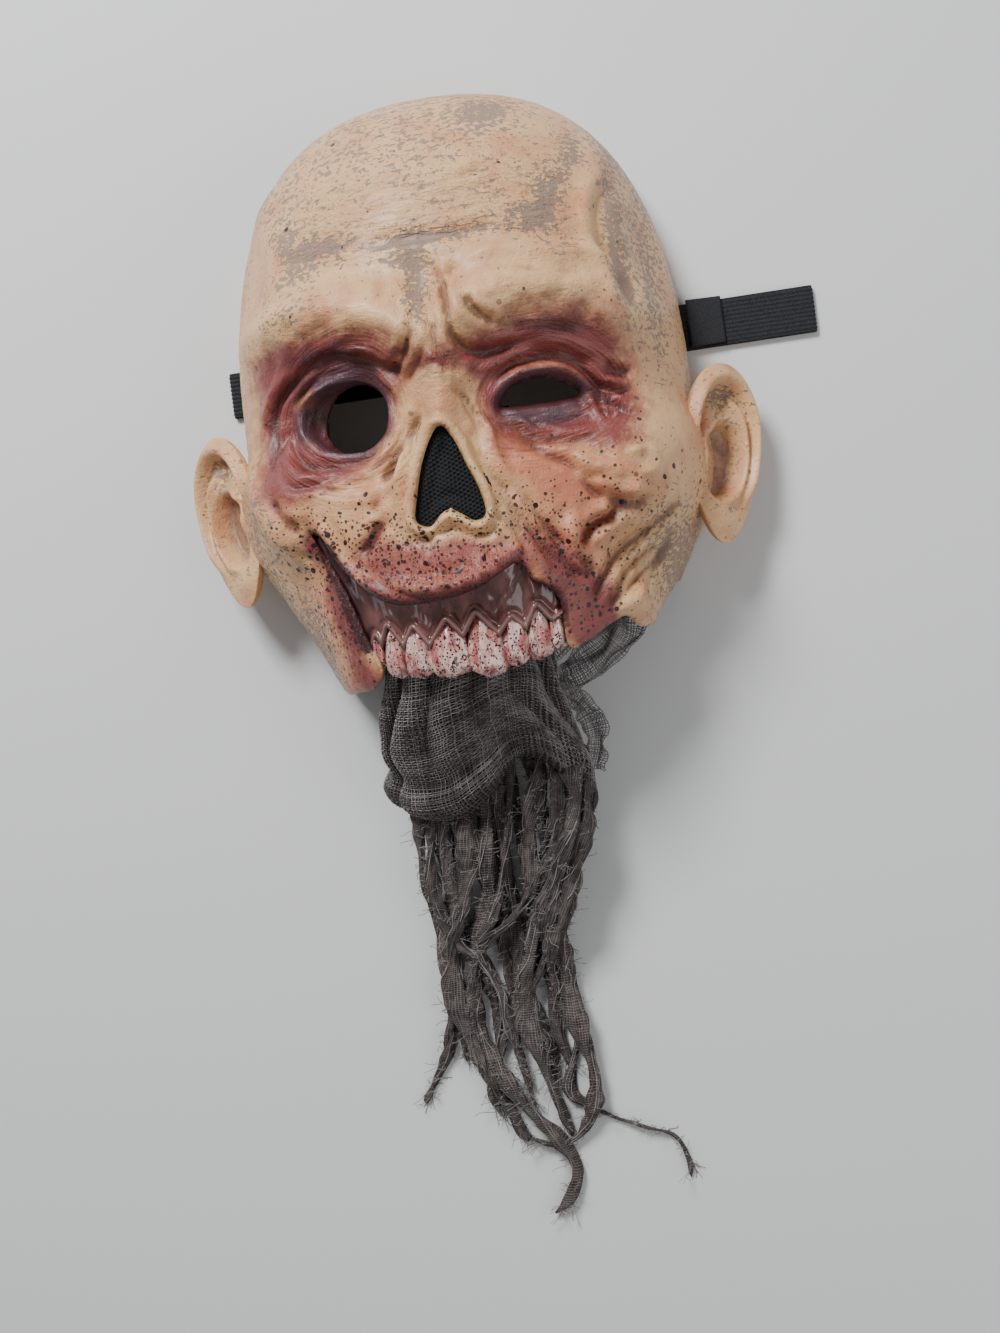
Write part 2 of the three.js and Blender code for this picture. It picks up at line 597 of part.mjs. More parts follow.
// Teeth stand on an arch that follows the face. This is the height of their back.
function archBack(x) {
  return faceHeight(x, heightAt(ARCH_UP), WALL + FIT_GAP) + TOOTH_PROUD - TOOTH_DEPTH;
}

// All that lies in front of the teeth's back, lowered by a clearance.
function beforeArch(clearance, low) {
  const reach = ARCH_REACH * HALF_WIDTH;
  const outline = [[-reach, 2 * FACE_DEPTH]];
  for (let step = 0; step <= ARCH_STEPS; step += 1) {
    const x = reach * ((2 * step) / ARCH_STEPS - 1);
    outline.push([x, archBack(x) - clearance]);
  }
  outline.push([reach, 2 * FACE_DEPTH]);
  return prismAlongY(outline, low, heightAt(TOOTH_ROOT) + BELOW_RIM);
}

function toothSolid({ left, right, tip }) {
  const middle = ((left + right) / 2) * HALF_WIDTH;
  const half = ((right - left) / 2) * HALF_WIDTH;
  const root = heightAt(TOOTH_ROOT);
  const rings = TOOTH_SECTIONS.map((section) => {
    const ring = [];
    const y = root + (heightAt(tip) - root) * section.way;
    const depth = section.depth * TOOTH_DEPTH;
    for (let side = 0; side < TOOTH_SIDES; side += 1) {
      const angle = (2 * Math.PI * side) / TOOTH_SIDES;
      const x = middle + half * section.width * Math.cos(angle);
      ring.push([x, y, archBack(middle) + depth * Math.sin(angle)]);
    }
    return ring;
  });
  return loftRings(rings);
}

function teethSolid() {
  const teeth = union(TEETH.map(toothSolid));
  return teeth.intersect(beforeArch(0, -2 * JAW_DROP)).subtract(gumSolid(FIT_GAP)).subtract(keepOut);
}

// Strap: one elastic band from temple to temple, with a loop outside the mask at each side.
function strapSolid() {
  const middle = STRAP_UP * CROWN_RISE;
  const half = STRAP_THICKNESS / 2;
  const lowPly = FLOOR_GAP + half;
  const highPly = lowPly + STRAP_THICKNESS + STRAP_PLY_GAP;
  const wall = sectionAt(middle, WALL + FIT_GAP + half + STRAP_SEAT_SLACK);
  const wallAt = (z) => wall.width * domeShare(z / wall.depth, SECTION_POWER);
  const seat = STRAP_SEAT_HEIGHT * FACE_DEPTH;
  const sidePath = (reach) => {
    const points = [];
    for (let step = 0; step <= SEAT_STEPS; step += 1) {
      const z = seat + STRAP_SEAT_LENGTH * (1 - step / SEAT_STEPS);
      points.push([wallAt(z), z]);
    }
    const foot = wallAt(seat);
    for (let step = 0; step <= BEND_STEPS; step += 1) {
      const angle = (Math.PI / 2) * (step / BEND_STEPS);
      points.push([foot + STRAP_BEND * (1 - Math.cos(angle)), highPly + STRAP_BEND * (1 - Math.sin(angle))]);
    }
    const radius = (highPly - lowPly) / 2;
    const end = HALF_WIDTH + reach - radius;
    for (let step = 0; step <= LOOP_END_STEPS; step += 1) {
      const angle = Math.PI * (0.5 - step / LOOP_END_STEPS);
      points.push([end + radius * Math.cos(angle), lowPly + radius * (1 + Math.sin(angle))]);
    }
    return points;
  };
  const left = sidePath(STRAP_LOOP_LEFT).map(([x, z]) => [-x, z]);
  const path = [...sidePath(STRAP_LOOP_RIGHT), ...left.reverse()];
  const outline = [...offsetLine(path, half), ...offsetLine(path, -half).reverse()];
  const band = prismAlongY(outline, middle - STRAP_WIDTH / 2, middle + STRAP_WIDTH / 2);
  return band.subtract(keepOut);
}

// Gauze beard: a folded bunch behind the teeth, a loose loop and the torn strips.
const beardAt = (drop) => -JAW_DROP - drop * BEARD_LENGTH;

function bunchSolid() {
  const rings = BUNCH_SECTIONS.map((section, i) => {
    const ring = [];
    for (let side = 0; side < BUNCH_SIDES; side += 1) {
      const angle = (2 * Math.PI * side) / BUNCH_SIDES;
      // The folds of the cloth run down the bunch.
      const fold = 1 + BUNCH_FOLD * Math.cos(BUNCH_FOLDS * angle + BUNCH_FOLD_SHIFT * i);
      const drawn = 1 + BUNCH_FOLD_PULL * (1 - fold);
      const x = HALF_WIDTH * (section.across + section.half * Math.cos(angle) * drawn);
      const z = FACE_DEPTH * (section.height + section.deep * fold * Math.sin(angle));
      ring.push([x, beardAt(section.drop), Math.max(z, FLOOR_GAP)]);
    }
    return ring;
  });
  return loftRings(rings);
}

function stripSolid(strip, index) {
  const across = [strip.root, strip.third, strip.twoThirds, strip.tip];
  const knots = across.map((share, i) => {
    const drop = strip.start + ((strip.end - strip.start) * i) / 3;
    return new THREE.Vector3(share * HALF_WIDTH, beardAt(drop), 0);
  });
  const path = new THREE.CatmullRomCurve3(knots);
  const rings = [];
  for (let step = 0; step <= STRIP_STEPS; step += 1) {
    const way = step / STRIP_STEPS;
    const point = path.getPoint(way);
    const taper = 1 - STRIP_TAPER * THREE.MathUtils.smoothstep(way, TAPER_START, 1);
    const radius = (strip.girth * STRIP_GIRTH * taper) / 2;
    const x = point.x + STRIP_SWAY * Math.sin(STRIP_WAVES * way + STRIP_WAVE_SHIFT * index) * way;
    const lift = STRIP_GIRTH * (strip.lift * (1 - way) + (1 - way) ** 3);
    const ring = [];
    for (let side = 0; side < STRIP_SIDES; side += 1) {
      // A strip is a flattened rope, so its section turns along its length.
      const angle = (2 * Math.PI * side) / STRIP_SIDES;
      const twist = STRIP_TWIST * way + index;
      const wide = radius * Math.cos(angle);
      const thin = radius * STRIP_FLATNESS * Math.sin(angle);
      const rise = wide * Math.sin(twist) + thin * Math.cos(twist);
      const shift = wide * Math.cos(twist) - thin * Math.sin(twist);
      ring.push([x + shift, point.y, radius + FLOOR_GAP + lift + rise]);
    }
    rings.push(ring);
  }
  return loftRings(rings);
}

function loopSolid() {
  const knots = GAUZE_LOOP.map(([across, up, height]) =>
    new THREE.Vector3(across * HALF_WIDTH, up * HALF_WIDTH - JAW_DROP, height * FACE_DEPTH));
  const section = new THREE.Shape();
  for (let side = 0; side < STRIP_SIDES; side += 1) {
    const angle = (2 * Math.PI * side) / STRIP_SIDES;
    const x = (LOOP_GIRTH / 2) * STRIP_FLATNESS * Math.cos(angle);
    const y = (LOOP_GIRTH / 2) * Math.sin(angle);
    if (side === 0) section.moveTo(x, y);
    else section.lineTo(x, y);
  }
  section.closePath();
  const extrudePath = new THREE.CatmullRomCurve3(knots);
  return solidFromGeometry(new THREE.ExtrudeGeometry(section, { steps: LOOP_STEPS, extrudePath }));
}

function beardSolid() {
  const cloth = union([bunchSolid(), loopSolid(), ...STRIPS.map(stripSolid)]);
  const seated = cloth.subtract(beforeArch(FIT_GAP, -JAW_DROP * BUNCH_TOP_END)).subtract(keepOut);
  // Pockets of air that the strips close in are filled: only the outer surface is kept.
  return seated.decompose().reduce((outer, part) => (part.volume() > outer.volume() ? part : outer));
}

const finish = (color, roughness) => new THREE.MeshStandardMaterial({ color, roughness, metalness: 0 });

const mask = new THREE.Group();
mask.add(meshOf("mask_shell", shellSolid(), finish(0xd8b48c, 0.42)));
mask.add(meshOf("nose_mesh", noseClothSolid(), finish(0x15171a, 0.9)));
mask.add(meshOf("gum", gumSolid(0), finish(0x6b4a40, 0.25)));
mask.add(meshOf("teeth", teethSolid(), finish(0xe0d2c8, 0.3)));
mask.add(meshOf("strap", strapSolid(), finish(0x101216, 0.85)));
mask.add(meshOf("gauze_beard", beardSolid(), finish(0x5a4e49, 0.95)));

// The origin goes to the middle of the underside.
const box = new THREE.Box3().setFromObject(mask);
mask.position.set(-(box.min.x + box.max.x) / 2, -(box.min.y + box.max.y) / 2, -box.min.z);

export default mask;
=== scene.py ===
# %% [markdown]
# # A zombie half mask with a beard of gauze
# The mask is one hollow moulding of painted latex, with a patch of knit behind the nose hole,
# a gum plate and a row of teeth under the lip, an elastic strap, and gauze that hangs from the jaw.
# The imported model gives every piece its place. It is loaded first, and the fine pieces are then
# made round it in the same frame.

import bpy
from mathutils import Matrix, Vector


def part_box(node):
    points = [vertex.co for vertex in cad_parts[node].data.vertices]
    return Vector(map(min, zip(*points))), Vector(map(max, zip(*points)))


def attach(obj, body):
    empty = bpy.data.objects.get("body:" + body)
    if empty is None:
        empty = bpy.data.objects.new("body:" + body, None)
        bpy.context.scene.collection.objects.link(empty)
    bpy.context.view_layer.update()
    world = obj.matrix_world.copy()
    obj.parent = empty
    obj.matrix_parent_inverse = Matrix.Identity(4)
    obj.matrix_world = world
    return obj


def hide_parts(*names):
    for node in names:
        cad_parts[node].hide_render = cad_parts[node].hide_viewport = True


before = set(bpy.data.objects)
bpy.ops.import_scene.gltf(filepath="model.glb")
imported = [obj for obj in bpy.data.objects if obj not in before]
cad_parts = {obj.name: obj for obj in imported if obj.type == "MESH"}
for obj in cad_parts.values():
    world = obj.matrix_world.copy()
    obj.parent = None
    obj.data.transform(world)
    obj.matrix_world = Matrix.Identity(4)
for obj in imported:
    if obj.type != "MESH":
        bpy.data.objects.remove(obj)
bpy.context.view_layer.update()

# %% [markdown]
# The tools are Blender's own and numpy. bmesh holds a mesh while it is made, and numpy moves all
# the points of a piece at once, which keeps the shapes short to write and quick to run.

# %% Tools
import math

import bmesh
import bpy
import numpy as np
from mathutils import Matrix, Vector, noise

MM = 0.001

# %% [markdown]
# A face is easiest to shape about its own middle, so the script works in millimetres with the
# origin level with the eyes. The knit patch has the same margin on each side of the nose hole,
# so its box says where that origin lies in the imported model.

# %% Where the face is
HALF_WIDTH, CROWN_RISE, JAW_DROP, FACE_DEPTH = 98.0, 142.0, 107.0, 90.0
RELIEF, WALL, FIT_GAP = 10.0, 2.6, 0.3
NOSE_BASE, KNIT_MARGIN = 0.44 * JAW_DROP, 8.0

knit_low, knit_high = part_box("nose_mesh")
face_origin = np.array([
    (knit_low.x + knit_high.x) / 2 / MM,
    knit_low.y / MM + NOSE_BASE + KNIT_MARGIN,
    0.0,
])


def in_frame(points):
    """Points about the face's middle, moved to the model's frame and to metres."""
    return (np.asarray(points, float) + face_origin) * MM


print("face origin", face_origin.round(2))

# %% [markdown]
# Every modelled piece starts as a flat bmesh grid, and its points are then moved to where a shape
# function puts them. A sculpt would give the same forms, but a function can be read, repeated and
# resized. Closed pieces wrap the grid round and weld its edges.

# %% Grids that take a shape
def flat_grid(columns, rows):
    """A bmesh grid, and how far across and along it each point lies, both from 0 to 1."""
    bm = bmesh.new()
    bm.loops.layers.uv.new("UVMap")
    bmesh.ops.create_grid(bm, x_segments=columns, y_segments=rows, size=0.5, calc_uvs=True)
    flat = np.array([vert.co for vert in bm.verts])[:, :2] + 0.5
    return bm, flat[:, 0], flat[:, 1]


def put_points(bm, points):
    for vert, point in zip(bm.verts, in_frame(points)):
        vert.co = point


def moved_grid(columns, rows, shape):
    """A grid whose points go where shape(across, along) says."""
    bm, across, along = flat_grid(columns, rows)
    put_points(bm, shape(across, along))
    return bm


def closed(bm):
    """Welds the seam of a wrapped grid, fills its ends and turns its faces outwards."""
    bmesh.ops.remove_doubles(bm, verts=bm.verts, dist=0.005 * MM)
    bmesh.ops.holes_fill(bm, edges=bm.edges, sides=0)
    bmesh.ops.recalc_face_normals(bm, faces=bm.faces)
    return bm


def joined(parts):
    """One bmesh that holds all the parts."""
    whole = bmesh.new()
    for part in parts:
        mesh = bpy.data.meshes.new("part")
        part.to_mesh(mesh)
        part.free()
        whole.from_mesh(mesh)
        bpy.data.meshes.remove(mesh)
    return whole


def in_scene(name, data):
    made = bpy.data.objects.new(name, data)
    bpy.context.scene.collection.objects.link(made)
    return made


print("tools for grids are ready")

# %% [markdown]
# A finished piece goes into the scene with its paint, rides on the imported model's one body, and
# hides the model's nodes that it stands for. Sheets get their thickness from a Solidify modifier,
# so that their grid stays a plain single layer to work on.

# %% Pieces
def add_piece(name, mesh, paints, stands_for=()):
    """Puts a finished mesh in the scene and ties it to the model."""
    if isinstance(mesh, bmesh.types.BMesh):
        bm, mesh = mesh, bpy.data.meshes.new(name)
        bm.to_mesh(mesh)
        bm.free()
    mesh.shade_smooth()
    for paint in paints:
        mesh.materials.append(paint.material)
    piece = in_scene(name, mesh)
    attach(piece, "root")
    if stands_for:
        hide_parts(*stands_for)
    print(name, len(mesh.polygons), "faces")
    return piece


def thicken(piece, name, thickness, offset):
    """Gives a sheet its thickness. The offset says on which side of its faces that lies."""
    wall = piece.modifiers.new(name, "SOLIDIFY")
    wall.thickness, wall.offset = thickness * MM, offset
    return wall


def set_mask(piece, name, values):
    """Keeps a number for each point, for the paint to read."""
    layer = piece.data.attributes.new(name, "FLOAT", "POINT")
    layer.data.foreach_set("value", np.asarray(values, np.float32))


def face_points(piece):
    """The points of a piece about the face's middle, in millimetres."""
    points = np.zeros(len(piece.data.vertices) * 3)
    piece.data.vertices.foreach_get("co", points)
    return points.reshape(-1, 3) / MM - face_origin


# %% [markdown]
# Paint is mixed in the shader. One small class stands for a number in it, so that masks are
# written as sums and products, and one method adds every other node. Sizes of patterns are given
# in millimetres, like the shapes.

# %% Paint
class Tone:
    """A number or colour in a shader. Arithmetic on it adds Math nodes."""

    def __init__(self, paint, socket):
        self.paint = paint
        self.socket = socket

    def math(self, operation, first, second):
        return self.paint.node("ShaderNodeMath", {"operation": operation}, {0: first, 1: second})

    def __add__(self, other):
        return self.math("ADD", self, other)

    def __sub__(self, other):
        return self.math("SUBTRACT", self, other)

    def __rsub__(self, other):
        return self.math("SUBTRACT", other, self)

    def __mul__(self, other):
        return self.math("MULTIPLY", self, other)

    __radd__ = __add__
    __rmul__ = __mul__

    def step(self, low, high):
        """0 below low and 1 above high, with a soft ramp between."""
        ranges = {"Value": self, "From Min": low, "From Max": high}
        return self.paint.node("ShaderNodeMapRange", {"interpolation_type": "SMOOTHSTEP"}, ranges)


def tint(red, green, blue):
    """A colour as a screen shows it, from 0 to 255, made linear."""
    return tuple((value / 255) ** 2.2 for value in (red, green, blue)) + (1.0,)


class Paint:
    """A material, and the nodes that are added to it."""

    def __init__(self, name, **settings):
        self.material = bpy.data.materials.new(name)
        self.material.use_nodes = True
        self.tree = self.material.node_tree
        self.shader = self.tree.nodes["Principled BSDF"]
        for setting, value in settings.items():
            self.shader.inputs[setting.replace("_", " ")].default_value = value

    def feed(self, socket, value):
        if isinstance(value, Tone):
            self.tree.links.new(value.socket, socket)
        else:
            socket.default_value = value

    def node(self, kind, settings=None, inputs=None, output=0):
        made = self.tree.nodes.new(kind)
        for name, value in (settings or {}).items():
            setattr(made, name, value)
        for name, value in (inputs or {}).items():
            self.feed(made.inputs[name], value)
        return Tone(self, made.outputs[output])

    def mask(self, name):
        """A number kept on the points. A piece that hasn't got it reads 0."""
        return self.node("ShaderNodeAttribute", {"attribute_name": name}, output="Fac")

    def places(self, stretch=(1, 1, 1), turn=0.0):
        where = self.node("ShaderNodeTexCoord", output="Object")
        return self.node("ShaderNodeMapping", {}, {
            "Vector": where, "Scale": stretch, "Rotation": (0, 0, turn)})

    def noise(self, size_mm, detail=2.0, rough=0.5, stretch=(1, 1, 1), distort=0.0, where=None):
        return self.node("ShaderNodeTexNoise", {}, {
            "Vector": where or self.places(stretch), "Scale": 1 / (size_mm * MM),
            "Detail": detail, "Roughness": rough, "Distortion": distort})

    def cells(self, size_mm, output="Distance", stretch=(1, 1, 1), where=None):
        return self.node("ShaderNodeTexVoronoi", {}, {
            "Vector": where or self.places(stretch), "Scale": 1 / (size_mm * MM)}, output)

    def mix(self, share, under, over):
        return self.node("ShaderNodeMix", {"data_type": "RGBA"}, {0: share, 6: under, 7: over}, 2)

    def bump(self, height, depth_mm):
        normal = self.node("ShaderNodeBump", {}, {"Height": height, "Distance": depth_mm * MM})
        self.feed(self.shader.inputs["Normal"], normal)

    def color(self, value):
        self.feed(self.shader.inputs["Base Color"], value)

    def roughness(self, value):
        self.feed(self.shader.inputs["Roughness"], value)


# %% [markdown]
# The face is a set of level sections, closed over at the crown, with broad forms and rolls added
# as soft hills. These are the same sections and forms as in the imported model, so the fine skin
# fits the gum, the strap and the knit that lie against it.

# %% Sections of the head
SECTION_POWER, OUTLINE_POWER, PROFILE_POWER = 2.2, 2.7, 2.6
JAW_STEP = 0.2 * JAW_DROP
JAW_WIDTHS = np.array([1, 1.06, 1.03, 0.91, 0.79, 0.69, 0.6])
JAW_DEPTHS = np.array([1, 1, 0.985, 0.97, 0.955, 0.94, 0.92])


def smooth_between(column, at):
    """A cubic through evenly spaced values."""
    first = np.clip(np.floor(at).astype(int), 0, len(column) - 2)
    t = at - first

    def value(step):
        return column[np.clip(first + step, 0, len(column) - 1)]

    slope, next_slope = (value(1) - value(-1)) / 2, (value(2) - value(0)) / 2
    rise = value(1) - value(0)
    return (value(0) + slope * t + (3 * rise - 2 * slope - next_slope) * t**2
            + (slope + next_slope - 2 * rise) * t**3)


def dome(share, power):
    return (1 - np.clip(share, 0, 1) ** power) ** (1 / power)


def section(y, inset=0.0):
    """Half width and depth of the head at a height, inset in the wall."""
    share = np.maximum(y, 0) / (CROWN_RISE - inset)
    drop = -y / JAW_STEP
    width = np.where(y > 0, (HALF_WIDTH - inset) * dome(share, OUTLINE_POWER),
                     HALF_WIDTH * smooth_between(JAW_WIDTHS, drop) - inset)
    depth = np.where(y > 0, (FACE_DEPTH - inset) * dome(share, PROFILE_POWER),
                     FACE_DEPTH * smooth_between(JAW_DEPTHS, drop) - inset)
    return width, depth


def soft_step(value, low, high):
    share = np.clip((value - low) / (high - low), 0, 1)
    return share * share * (3 - 2 * share)


# %% [markdown]
# The broad forms are soft hills and hollows, and the rolls are ridges along a line. Both are kept
# as shares of the head's sizes, across of the half width and up of the rise or drop from the eyes.
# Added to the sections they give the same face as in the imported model. A sculpted base would do
# as well, but then the two models wouldn't share one list of forms.

# %% Broad forms and rolls
FORMS = [  # across, up, reach along and over, turn in degrees, rise
    (0.0, 0.05, 0.09, 0.28, 0, 0.95),  # bridge of the nose
    (-0.02, -0.32, 0.23, 0.24, 0, 0.5),  # round the nose hole
    (-0.43, 0.01, 0.25, 0.2, -8, -1.55),  # left socket
    (0.39, -0.02, 0.27, 0.18, 5, -1.45),  # right socket
    (-0.42, 0.01, 0.13, 0.12, 0, 0.5),  # left eyelids
    (0.38, 0.0, 0.17, 0.1, 0, 0.7),  # right eyelids
    (-0.76, -0.28, 0.2, 0.19, 20, 0.95),  # left cheekbone
    (0.76, -0.3, 0.2, 0.2, -20, 1.05),  # right cheekbone
    (-0.02, -0.6, 0.34, 0.18, 0, 0.45),  # upper jaw
    (-0.66, -0.6, 0.12, 0.2, 0, -0.6),  # left cheek hollow
    (0.62, -0.6, 0.13, 0.17, 0, -0.5),  # right cheek hollow
    (-0.84, 0.42, 0.13, 0.3, 0, -0.5),  # left temple
    (0.86, 0.38, 0.12, 0.34, 0, -0.6),  # right temple
    (0.0, 0.62, 0.5, 0.3, 0, 0.25),  # forehead
    (-0.02, 0.28, 0.07, 0.17, 0, -0.5),  # between the brows
    (0.66, -0.79, 0.09, 0.08, 0, 0.5),  # stub of the jaw
]
ROLLS = [  # reach, rise, line
    (0.12, 1.05, [(-0.79, 0.3), (-0.58, 0.31), (-0.4, 0.29), (-0.23, 0.25), (-0.12, 0.2)]),
    (0.12, 1.05, [(0.14, 0.23), (0.28, 0.27), (0.45, 0.27), (0.62, 0.25), (0.73, 0.19)]),
    (0.07, 0.3, [(-0.81, 0.79), (-0.73, 0.65), (-0.63, 0.54), (-0.67, 0.42)]),
    (0.07, 0.3, [(0.73, 0.7), (0.71, 0.56), (0.69, 0.46), (0.73, 0.37), (0.79, 0.24)]),
    (0.08, 0.35, [(-0.65, -0.62), (-0.61, -0.77), (-0.58, -0.93)]),
    (0.05, 0.25, [(-0.45, -0.62), (-0.32, -0.65), (-0.16, -0.67), (0.0, -0.66), (0.12, -0.63),
                  (0.21, -0.58)]),
    (0.05, 0.3, [(-0.19, -0.43), (-0.12, -0.21), (-0.02, -0.06), (0.09, -0.21), (0.15, -0.45)]),
]


def place(pair):
    across, up = pair
    return across * HALF_WIDTH, up * (CROWN_RISE if up > 0 else JAW_DROP)


def nearest(points, line):
    """For each point: its distance to a line, the share of the line passed, and the spot."""
    best, way, spot = np.full(len(points), 1e9), np.zeros(len(points)), np.zeros((len(points), 2))
    lengths = np.linalg.norm(np.diff(line, axis=0), axis=1)
    passed = np.concatenate([[0], np.cumsum(lengths)])
    for a, b, start, length in zip(line[:-1], line[1:], passed, lengths):
        t = np.clip((points - a) @ (b - a) / max(length**2, 1e-9), 0, 1)
        at = a + t[:, None] * (b - a)
        gap = np.linalg.norm(points - at, axis=1)
        closer = gap < best
        best[closer], spot[closer] = gap[closer], at[closer]
        way[closer] = ((start + t * length) / passed[-1])[closer]
    return best, way, spot


def bell(value, middle, reach):
    """A soft bump over a row of numbers, 1 at its middle."""
    return np.exp(-(((value - middle) / reach) ** 2))


def hill(x, y, across, up, along, over, turn=0.0):
    """A soft round hill, 1 at its middle. Reaches in the unit of x and y."""
    c, s = math.cos(math.radians(turn)), math.sin(math.radians(turn))
    dx, dy = x - across, y - up
    return np.exp(-(((dx * c + dy * s) / along) ** 2) - ((dy * c - dx * s) / over) ** 2)


def relief(x, y):
    total = np.zeros(len(x))
    for across, up, along, over, turn, rise in FORMS:
        at = place((across, up))
        total += rise * hill(x, y, *at, along * HALF_WIDTH, over * HALF_WIDTH, turn)
    for reach, rise, line in ROLLS:
        gap = nearest(np.column_stack([x, y]), np.array([place(pair) for pair in line]))[0]
        total += rise * bell(gap, 0, reach * HALF_WIDTH)
    return total * RELIEF


def face_height(x, y, inset=0.0):
    """Height of the face over a place in front view."""
    x, y = np.broadcast_arrays(np.asarray(x, float), np.asarray(y, float))
    shape, x, y = x.shape, x.ravel(), y.ravel()
    width, depth = section(y, inset)
    share = dome(np.abs(x) / width, SECTION_POWER)
    return (depth * share + relief(x, y) * soft_step(share, 0.12, 0.5)).reshape(shape)


# %% [markdown]
# The skin is folded like real skin: lids, bags, crow's feet, a wound and the strands of a torn
# neck. Each fold is drawn as a smooth line with a width and a depth. A furrow lifts the skin a
# little on both its sides and fades out at its ends, as a furrow pressed in clay does.

